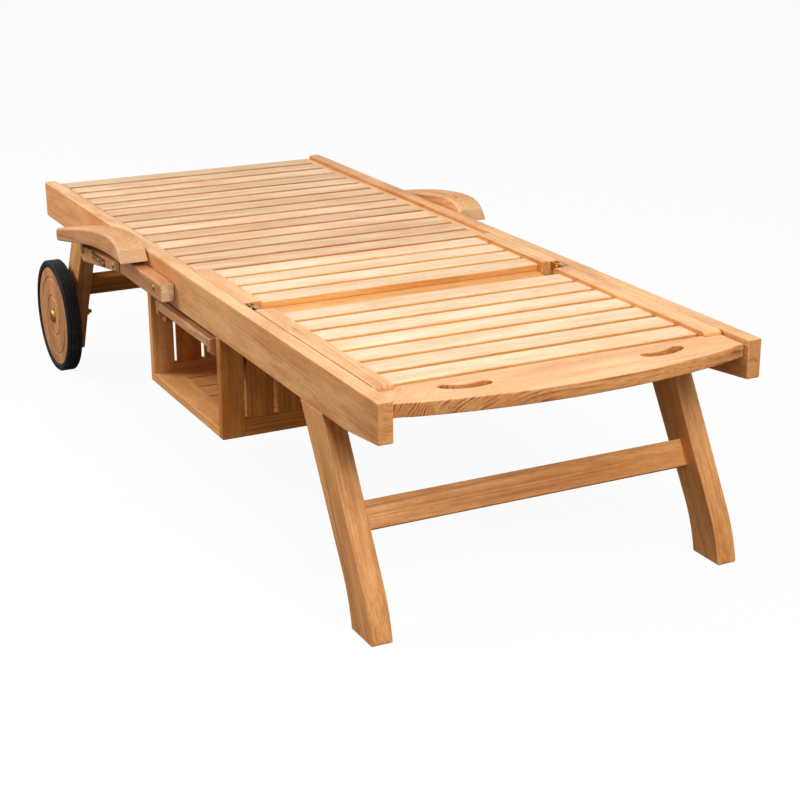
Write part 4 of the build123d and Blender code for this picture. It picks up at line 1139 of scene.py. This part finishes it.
# %% Box frames and edge boards
box_from, box_to, box_low, box_in, thick = -0.245, 0.206, 0.156, -0.1505, 0.020
stile_right, far_stile_left = -0.344, -0.2015
low_rail_top, high_rail_low = box_low + 0.038, rail_low - 0.036
frame_boards = (
    (-rail_out, stile_right, box_low, rail_low, upright_z),
    (far_stile_left, box_in, box_low, rail_low, upright_z),
    (stile_right, far_stile_left, box_low, low_rail_top, across_x),
    (stile_right, far_stile_left, high_rail_low, rail_low, across_x),
)
# The foot frame takes the darker teak as painted shade; the head frame takes the lighter floor teak.
ends_of_box = (("box_foot_frame", box_from, box_teak), ("box_head_frame", box_to - thick, floor_teak))
for node, near, finish in ends_of_box:
    boards = []
    for number, (left, right, low, high, run) in enumerate(frame_boards):
        board = plank((left, near, low), (right, near + thick, high))
        boards.append(seasoned(board, run, f"{node} {number}"))
    piece(node + "_boards", boards, finish, "frame", [node])
floor_left, floor_right, floor_from, floor_to = -0.337, -0.1795, box_from + thick, box_to - thick
boards = []
for number, (left, right) in enumerate(((-rail_out, floor_left), (floor_right, box_in))):
    board = plank((left, floor_from, box_low), (right, floor_to, box_low + thick))
    boards.append(seasoned(board, along_y, f"edge {number}"))
piece("box_edge_boards", boards, floor_teak, "frame", ["box_floor_edge_boards"])
print("box boards laid")

# %% Box slats
stood_up, small_edge = (math.radians(-90), math.radians(-90), 0), 0.0015
panel_x, panel_z = -0.306, (low_rail_top + high_rail_low) / 2
panel_step, panel_size = (0.0665, 0, 0), (high_rail_low - low_rail_top, 0.057, 0.014)
# The box slats take the darker teak as painted shade.
rows = (("box_foot_slats", box_from, 5, ["box_panel_slats"]), ("box_head_slats", box_to - thick, 9, []))
for name, near, seed, stands_for in rows:
    at = (panel_x, near + thick / 2, panel_z)
    row_of(name, 2, at, panel_step, panel_size, seed, box_teak, "frame", stands_for, stood_up, small_edge)
floor_count, floor_gap, floor_thick = 6, 0.005, 0.012
wide = (floor_to - floor_from - floor_gap * (floor_count - 1)) / floor_count
at = ((floor_left + floor_right) / 2, floor_from + wide / 2, box_low + thick - floor_thick / 2)
sizes = (floor_right - floor_left, wide, floor_thick)
row_of("box_floor_boards", floor_count, at, (0, wide + floor_gap, 0), sizes, 13, floor_teak, "frame",
       ["box_floor_slats"], edge=small_edge)

# %% Tray
tray_teak = teak("tray_teak", ((234, 178, 126), (206, 146, 94), (138, 86, 48)), (0.5, 0.35, 0.8))
tray_left, tray_right, tray_from, tray_to = -rail_out, -0.163, -0.169, 0.135
tray_top, strip_low, end_low, nick = 0.358, 0.339, 0.321, 0.009
strip_thick, end_thick = 0.018, 0.016
boards = []
for number, left in enumerate((tray_left, tray_right - strip_thick)):
    board = plank((left, tray_from, strip_low), (left + strip_thick, tray_to, tray_top))
    boards.append(seasoned(board, along_y, f"tray strip {number}"))
end_outline = [(end_low, tray_left + nick), (end_low + nick, tray_left), (tray_top, tray_left),
               (tray_top, tray_right), (end_low, tray_right)]
for number, near in enumerate((tray_from - end_thick, tray_to)):
    board = milled(end_outline, near, near + end_thick, "Y")
    boards.append(seasoned(board, across_x, f"tray end {number}"))
piece("tray_boards", boards, tray_teak, "tray", ["tray_frame"])
wide, gap, deck_thick, deck_edge = 0.0445, 0.006, 0.008, 0.001
at = (tray_left + strip_thick + wide / 2, (tray_from + tray_to) / 2, strip_low + deck_thick / 2)
sizes, quarter_turn = (tray_to - tray_from, wide, deck_thick), (0, 0, math.radians(90))
row_of("tray_deck", 4, at, (wide + gap, 0, 0), sizes, 17, tray_teak, "tray", ["tray_slats"],
       quarter_turn, deck_edge)

# %% [markdown]
# ## Wheels
# A wheel is a wooden disc that was turned on a lathe, with two rings cut in its face. The
# lathe is written out: a profile of places and radii is swept about the axle.

# %% Turn the discs


def turned(profile, centre, count=72):
    """A closed shape swept about a line along X, from a closed loop of (X, radius) points."""
    points, faces, smooth, rows = [], [], [], []
    angles = [2 * math.pi * k / count for k in range(count)]
    for x, size in profile:
        spots = angles if size else angles[:1]
        rows.append([len(points) + k for k in range(len(spots))])
        points += [(x, centre[0] + size * math.cos(a), centre[1] + size * math.sin(a)) for a in spots]
    neighbours = zip(rows, rows[1:] + rows[:1], profile, profile[1:] + profile[:1])
    for here, after, (x, size), (next_x, next_size) in neighbours:
        if not size and not next_size:
            continue
        # A row on the axle is one point, so two corners of a face can fall together there.
        for k in range(count):
            j = (k + 1) % count
            corners = here[k % len(here)], here[j % len(here)], after[j % len(after)], after[k % len(after)]
            faces.append(tuple(dict.fromkeys(corners)))
            smooth.append(abs(next_x - x) > 1e-6)
    return points, outward(points, faces), [0.0] * len(points), smooth


axle_y, axle_z = 0.859, 0.145
wheel_in, wheel_out, disc_inset, rim, bore = 0.406, 0.443, 0.003, 0.128, 0.0061
disc_back, disc_face = -wheel_in - disc_inset, -wheel_out + disc_inset
outer_ring, inner_ring = 0.100, 0.052
rim_round = ((0.0015, 0.0), (0.0004, -0.0008), (0.0, -0.002))
groove = ((0.0, 0.0036), (0.0006, 0.0026), (0.0022, 0.0012), (0.0026, 0.0),
          (0.0022, -0.0012), (0.0006, -0.0026), (0.0, -0.0036))
disc = [(disc_back, bore), (disc_back, rim)]
for ring, steps in ((rim, rim_round), (outer_ring, groove), (inner_ring, groove)):
    disc += [(disc_face + depth, ring + away) for depth, away in steps]
board = turned(disc + [(disc_face, bore)], (axle_y, axle_z))
wheel_teak = teak("wheel_teak", ((222, 158, 98), (190, 126, 72), (112, 62, 28)), (0.70, 0.0, 1.0),
                  ring_width=0.010)
run = (0, 0.25, 1)
pair("{}_wheel_disc", board, run, "wheel {}", wheel_teak, "{}_wheel", "{}_wheel", heart=(0.12, 0.2))

# %% [markdown]
# The tyre is a hoop with a soft section. Its ribs are thinner hoops, which a row of points
# sets side by side across the tread.

# %% The tyre tree
tyre, given, result = shape_tree("ribbed tyre", [
    ("Radius", "Float", 0.145), ("Depth", "Float", 0.017), ("Width", "Float", 0.037), ("Ribs", "Int", 5),
    ("Rib Height", "Float", 0.002), ("Rib Width", "Float", 0.0038), ("Centre", "Vector", (0, 0, 0)),
    ("Finish", "Material", None),
])


def hoop(radius, wide, deep, soft, mark, count=96):
    """A ring about Z with a soft section and a worn-edge mark."""
    path = tyre.shape("CurvePrimitiveCircle", Radius=radius, Resolution=count)
    ring = tyre.shape("CurveToMesh", Curve=path, Profile_Curve=tyre.soft_oblong(deep, wide, soft))
    return tyre.store(ring, "edge", "FLOAT", "POINT", mark)


body_soft, rib_soft, bare_tread = 0.003, 0.0009, 0.006
rib_height, rib_width = given["Rib Height"], given["Rib Width"]
ground, deep = (tyre.minus(given[name], rib_height) for name in ("Radius", "Depth"))
body_ring = hoop(tyre.minus(ground, tyre.times(deep, 0.5)), given["Width"], deep, body_soft, 0.0)
rib = hoop(ground, rib_width, tyre.times(rib_height, 2.0), rib_soft, 1.0)
spread = tyre.minus(tyre.minus(given["Width"], bare_tread), rib_width)
first_rib = tyre.vector(Z=tyre.times(spread, -0.5))
rib_step = tyre.vector(Z=tyre.maths("DIVIDE", spread, tyre.minus(given["Ribs"], 1.0)))
both = tyre.add("GeometryNodeJoinGeometry", body_ring)
tyre.join(tyre.row(first_rib, rib_step, given["Ribs"], rib), both.inputs[0])
stood = {"Rotation": (0, math.radians(90), 0), "Translation": given["Centre"]}
whole = tyre.shape("RealizeInstances", Geometry=tyre.shape("Transform", Geometry=both.outputs[0], **stood))
tyre.finished(tyre.shape("SetShadeSmooth", Geometry=whole), given["Finish"], result)
print("tyre nodes", len(tyre.nodes))

# %% Put the tyres on
tyre_sizes = {"Radius": 0.145, "Depth": 0.017, "Width": 0.037}
rib_sizes = {"Ribs": 5, "Rib Height": 0.002, "Rib Width": 0.0038}
for label, side in sides:
    centre = (side * (wheel_in + wheel_out) / 2, axle_y, axle_z)
    values = tyre_sizes | rib_sizes | {"Centre": centre, "Finish": rubber}
    grown(f"{label}_ribbed_tyre", tyre, values, f"{label}_wheel", [f"{label}_tyre"])

# %% [markdown]
# ## Fittings
# The hinges, bolts and caps are brass. The bolts and the pins are turned in the same way as
# the wheels. The small brass parts that already have the right shape keep their CAD solids.
# One CAD node often holds the fittings of both sides, so the left piece stands for it.

# %% Knee hinges
hinge_y, hinge_z, pin_size = -0.336, 0.458, 0.003
plate_half, plate_ease, seat_plate_end, leg_plate_end = 0.0066, 0.0003, -0.292, -0.382
outer_plate, leg_plate, inner_plate = (-0.361, -0.3585), (-0.3582, -0.3502), (-0.3499, -0.3474)
pin_from, pin_to = -0.3625, -0.3459


def hinge_plate(far_y, reach):
    """A flat plate with a round end about the hinge pin."""
    facing = 1 if far_y > hinge_y else -1
    knuckle = quarter((hinge_y, hinge_z), plate_half, 90, 90 + facing * 180, 10)
    outline = [(far_y, hinge_z + plate_half)] + knuckle + [(far_y, hinge_z - plate_half)]
    return milled(outline, *reach, "X", plate_ease)


def turned_rod(low, high, centre, size, count=32):
    """A round bar along X with softened ends."""
    soft = size * 0.18
    half = [(low, 0.0), (low, size - soft), (low + soft, size)]
    return turned(half + [(low + high - x, y) for x, y in half[::-1]], centre, count)


def brass_pair(name, shapes, along, seed, body, node):
    """A left and a right piece of brass; the left one stands for the CAD node of both."""
    for label, side in sides:
        parts = [seasoned(on_side(shape, side), along, f"{seed} {label}") for shape in shapes]
        piece(f"{label}_{name}", parts, brass, body, [node] if label == "left" else [])


seat_plates = [hinge_plate(seat_plate_end, reach) for reach in (outer_plate, inner_plate)]
brass_pair("knee_seat", seat_plates, along_y, "seat", "frame", "knee_hinge_seat_plates")
leg_plates = [hinge_plate(leg_plate_end, leg_plate)]
brass_pair("knee_leg", leg_plates, along_y, "leg", "leg", "knee_hinge_leg_plates")
pin = turned_rod(pin_from, pin_to, (hinge_y, hinge_z), pin_size)
brass_pair("knee_pin", [pin], along_y, "pin", "frame", "knee_hinge_pins")

# %% Bolts with domed heads
bolt_face, bolt_depth, bolt_size, bolt_shank, bolt_rise = -post_out - 0.0003, -0.371, 0.007, 0.004, 0.0028
cap_face, cap_depth, cap_size, cap_shank, cap_rise = -0.4403, -0.339, 0.018, 0.005, 0.0082


def domed(face, depth, size, shank, centre, rise, count=32, steps=6):
    """A bolt along X: a shank inside the wood and a dome outside its face, both on the left."""
    angles = [math.pi / 2 * k / steps for k in range(steps)]
    dome = [(face - rise * math.sin(angle), size * math.cos(angle)) for angle in angles]
    profile = [(depth, 0.0), (depth, shank), (face, shank)] + dome + [(face - rise, 0.0)]
    return turned(profile, centre, count)


pivots = (front_pivot, rear_pivot)
bolts = [domed(bolt_face, bolt_depth, bolt_size, bolt_shank, pivot, bolt_rise) for pivot in pivots]
brass_pair("arm_bolts", bolts, across_x, "bolt", "frame", "arm_pivot_bolts")
cap = domed(cap_face, cap_depth, cap_size, cap_shank, (axle_y, axle_z), cap_rise, 48)
brass_pair("axle", [cap], across_x, "cap", "frame", "wheel_bolts")

# %% [markdown]
# Slotted screws repeat, so a tree lays them out in a row. The slot is cut with a Boolean,
# and each screw was left at its own angle, as a real screwdriver leaves it.

# %% The screw row tree
screws, given, result = shape_tree("screw row", [
    ("Count", "Int", 3), ("Start", "Vector", (0, 0, 0)), ("Step", "Vector", (0, 0.03, 0)),
    ("Radius", "Float", 0.0035), ("Height", "Float", 0.0009), ("Facing", "Float", -1.0), ("Seed", "Int", 1),
    ("Finish", "Material", None),
])
size, height = given["Radius"], given["Height"]
top_share, blade_length, blade_width, blade_lift = 0.78, 3.0, 0.26, 0.95
cone_sizes = {"Radius Top": screws.times(size, top_share), "Radius Bottom": size, "Depth": height}
cone = screws.shape("MeshCone", Vertices=24, **cone_sizes)
blade_size = {"X": screws.times(size, blade_length), "Y": screws.times(size, blade_width), "Z": height}
blade = screws.shape("MeshCube", Size=screws.vector(**blade_size))
lifted = screws.vector(Z=screws.times(height, blade_lift))
blade = screws.shape("Transform", Geometry=blade, Translation=lifted)
slotted = screws.shape("MeshBoolean", cone, blade, operation="DIFFERENCE")
tipped = screws.vector(Y=screws.times(given["Facing"], math.radians(90)))
lying = screws.shape("Transform", Geometry=slotted, Rotation=tipped)
angle = screws.add("FunctionNodeRandomValue", data_type="FLOAT", Seed=given["Seed"])
angle.inputs[3].default_value = math.pi
left_at = screws.vector(X=angle.outputs[1])
row = screws.row(given["Start"], given["Step"], given["Count"], lying, Rotation=left_at)
screws.finished(screws.shape("RealizeInstances", Geometry=row), given["Finish"], result)
print("screw nodes", len(screws.nodes))

# %% Drive the screws
screw_radius, screw_height, sunk_in, seeds = 0.0034, 0.0009, 0.0001, {"left": 3, "right": 8}
rows = (("catch_screws", "rear_post", 3, 0.0366, (0.4304, 0.4224, 0.384)),
        ("bracket_screws", "armrest", 1, 0.0, (0.4303, 0.304, 0.4265)))
for label, side in sides:
    same = {"Radius": screw_radius, "Height": screw_height, "Facing": float(side)}
    same |= {"Seed": seeds[label], "Finish": brass}
    for kind, body, number, step, (x, y, z) in rows:
        values = same | {"Count": number, "Start": (side * (x - sunk_in), y, z), "Step": (0.0, step, 0.0)}
        grown(f"{label}_{kind}", screws, values, f"{label}_{body}", [])

# %% Finish the CAD solids that stay
kept_solids = (
    (plain_teak_y, ("back_racks", "leg_racks", "back_prop_arms", "leg_prop_arms")),
    (plain_teak_x, ("back_prop_bar", "leg_prop_bar", "tray_runners")),
    (brass, ("wheel_nuts", "wheel_washers", "back_bolts", "leg_prop_bolts")),
    (brass, ("left_arm_brackets", "right_arm_brackets", "left_arm_catch", "right_arm_catch")),
)
for finish, names in kept_solids:
    for name in names:
        nodes[name].data.materials.clear()
        nodes[name].data.materials.append(finish)
print("CAD solids that show:", len([node for node in nodes.values() if not node.hide_render]))

# %% [markdown]
# ## Floor and light
# The floor is one large pale sheet, and the sky is white. The camera sees the sheet partly
# as plain white, so that only a faint shadow stays, while the lounger is lit by the real
# sheet.

# %% Floor
reach, glow_share, white = 60.0, 0.95, (1, 1, 1, 1)
lighting_shade, seen_shade = (0.25, 0.24, 0.23, 1), (0.90, 0.90, 0.90, 1)
floor_mesh = bpy.data.meshes.new("floor")
floor_mesh.from_pydata([(x, y, 0) for x, y in oblong(-reach, reach, -reach, reach)], [], [(0, 1, 2, 3)])
floor = bpy.data.objects.new("floor", floor_mesh)
scene.collection.objects.link(floor)
paper = bpy.data.materials.new("paper")
paper.use_nodes = True
mix = Finish(paper.node_tree)
mix.nodes.clear()
seen = mix.add("ShaderNodeLightPath").outputs["Is Camera Ray"]
matt = mix.add("ShaderNodeBsdfDiffuse", Color=mix.blend(seen, lighting_shade, seen_shade)).outputs[0]
glow = mix.add("ShaderNodeEmission", Color=white, Strength=1.0).outputs[0]
mixed = mix.add("ShaderNodeMixShader", mix.times(seen, glow_share), matt, glow).outputs[0]
mix.add("ShaderNodeOutputMaterial", Surface=mixed)
floor_mesh.materials.append(paper)
print("floor", reach * 2, "m wide")

# %% [markdown]
# The sky looks plain white, and its dimmer light fills the shade. Three large lamps do the
# rest: one over the lounger, one behind it to the left and one in front.

# %% Sky and lamps
sky_tint, sky_strength = (1.0, 0.985, 0.965, 1), 0.27
sky = bpy.data.worlds.new("sky")
scene.world = sky
sky.use_nodes = True
mix = Finish(sky.node_tree)
mix.nodes.clear()
rays = mix.add("ShaderNodeLightPath").outputs
mirrored = mix.maths("MAXIMUM", rays["Is Glossy Ray"], rays["Is Transmission Ray"])
direct = mix.maths("MAXIMUM", rays["Is Camera Ray"], mirrored)
dim = mix.add("ShaderNodeBackground", Color=sky_tint, Strength=sky_strength).outputs[0]
bright = mix.add("ShaderNodeBackground", Color=white, Strength=1.0).outputs[0]
mixed = mix.add("ShaderNodeMixShader", direct, dim, bright).outputs[0]
mix.add("ShaderNodeOutputWorld", Surface=mixed)


def lamp(name, spot, aim, size, power):
    """A square lamp at a spot, turned to an aim."""
    light = bpy.data.lights.new(name, "AREA")
    light.size = size
    light.energy = power
    made = bpy.data.objects.new(name, light)
    scene.collection.objects.link(made)
    made.location = spot
    made.rotation_euler = (Vector(aim) - Vector(spot)).to_track_quat("-Z", "Y").to_euler()


lamp("top", (-0.8, -1.6, 4.0), (0, -0.3, 0.4), 2.4, 52)
lamp("key", (-3.7, 2.7, 2.9), (0, 0, 0.4), 2.2, 162)
lamp("front", (0.0, -3.9, 3.1), (0, -0.6, 0.3), 2.2, 132)
print("lamps", len(bpy.data.lights))

# %% [markdown]
# ## The CAD box
# Looks never change the lounger's size; the CAD model's box is printed.

# %% Print the CAD box
print("CAD box", [round(v, 4) for v in (*cad_low, *cad_high)])
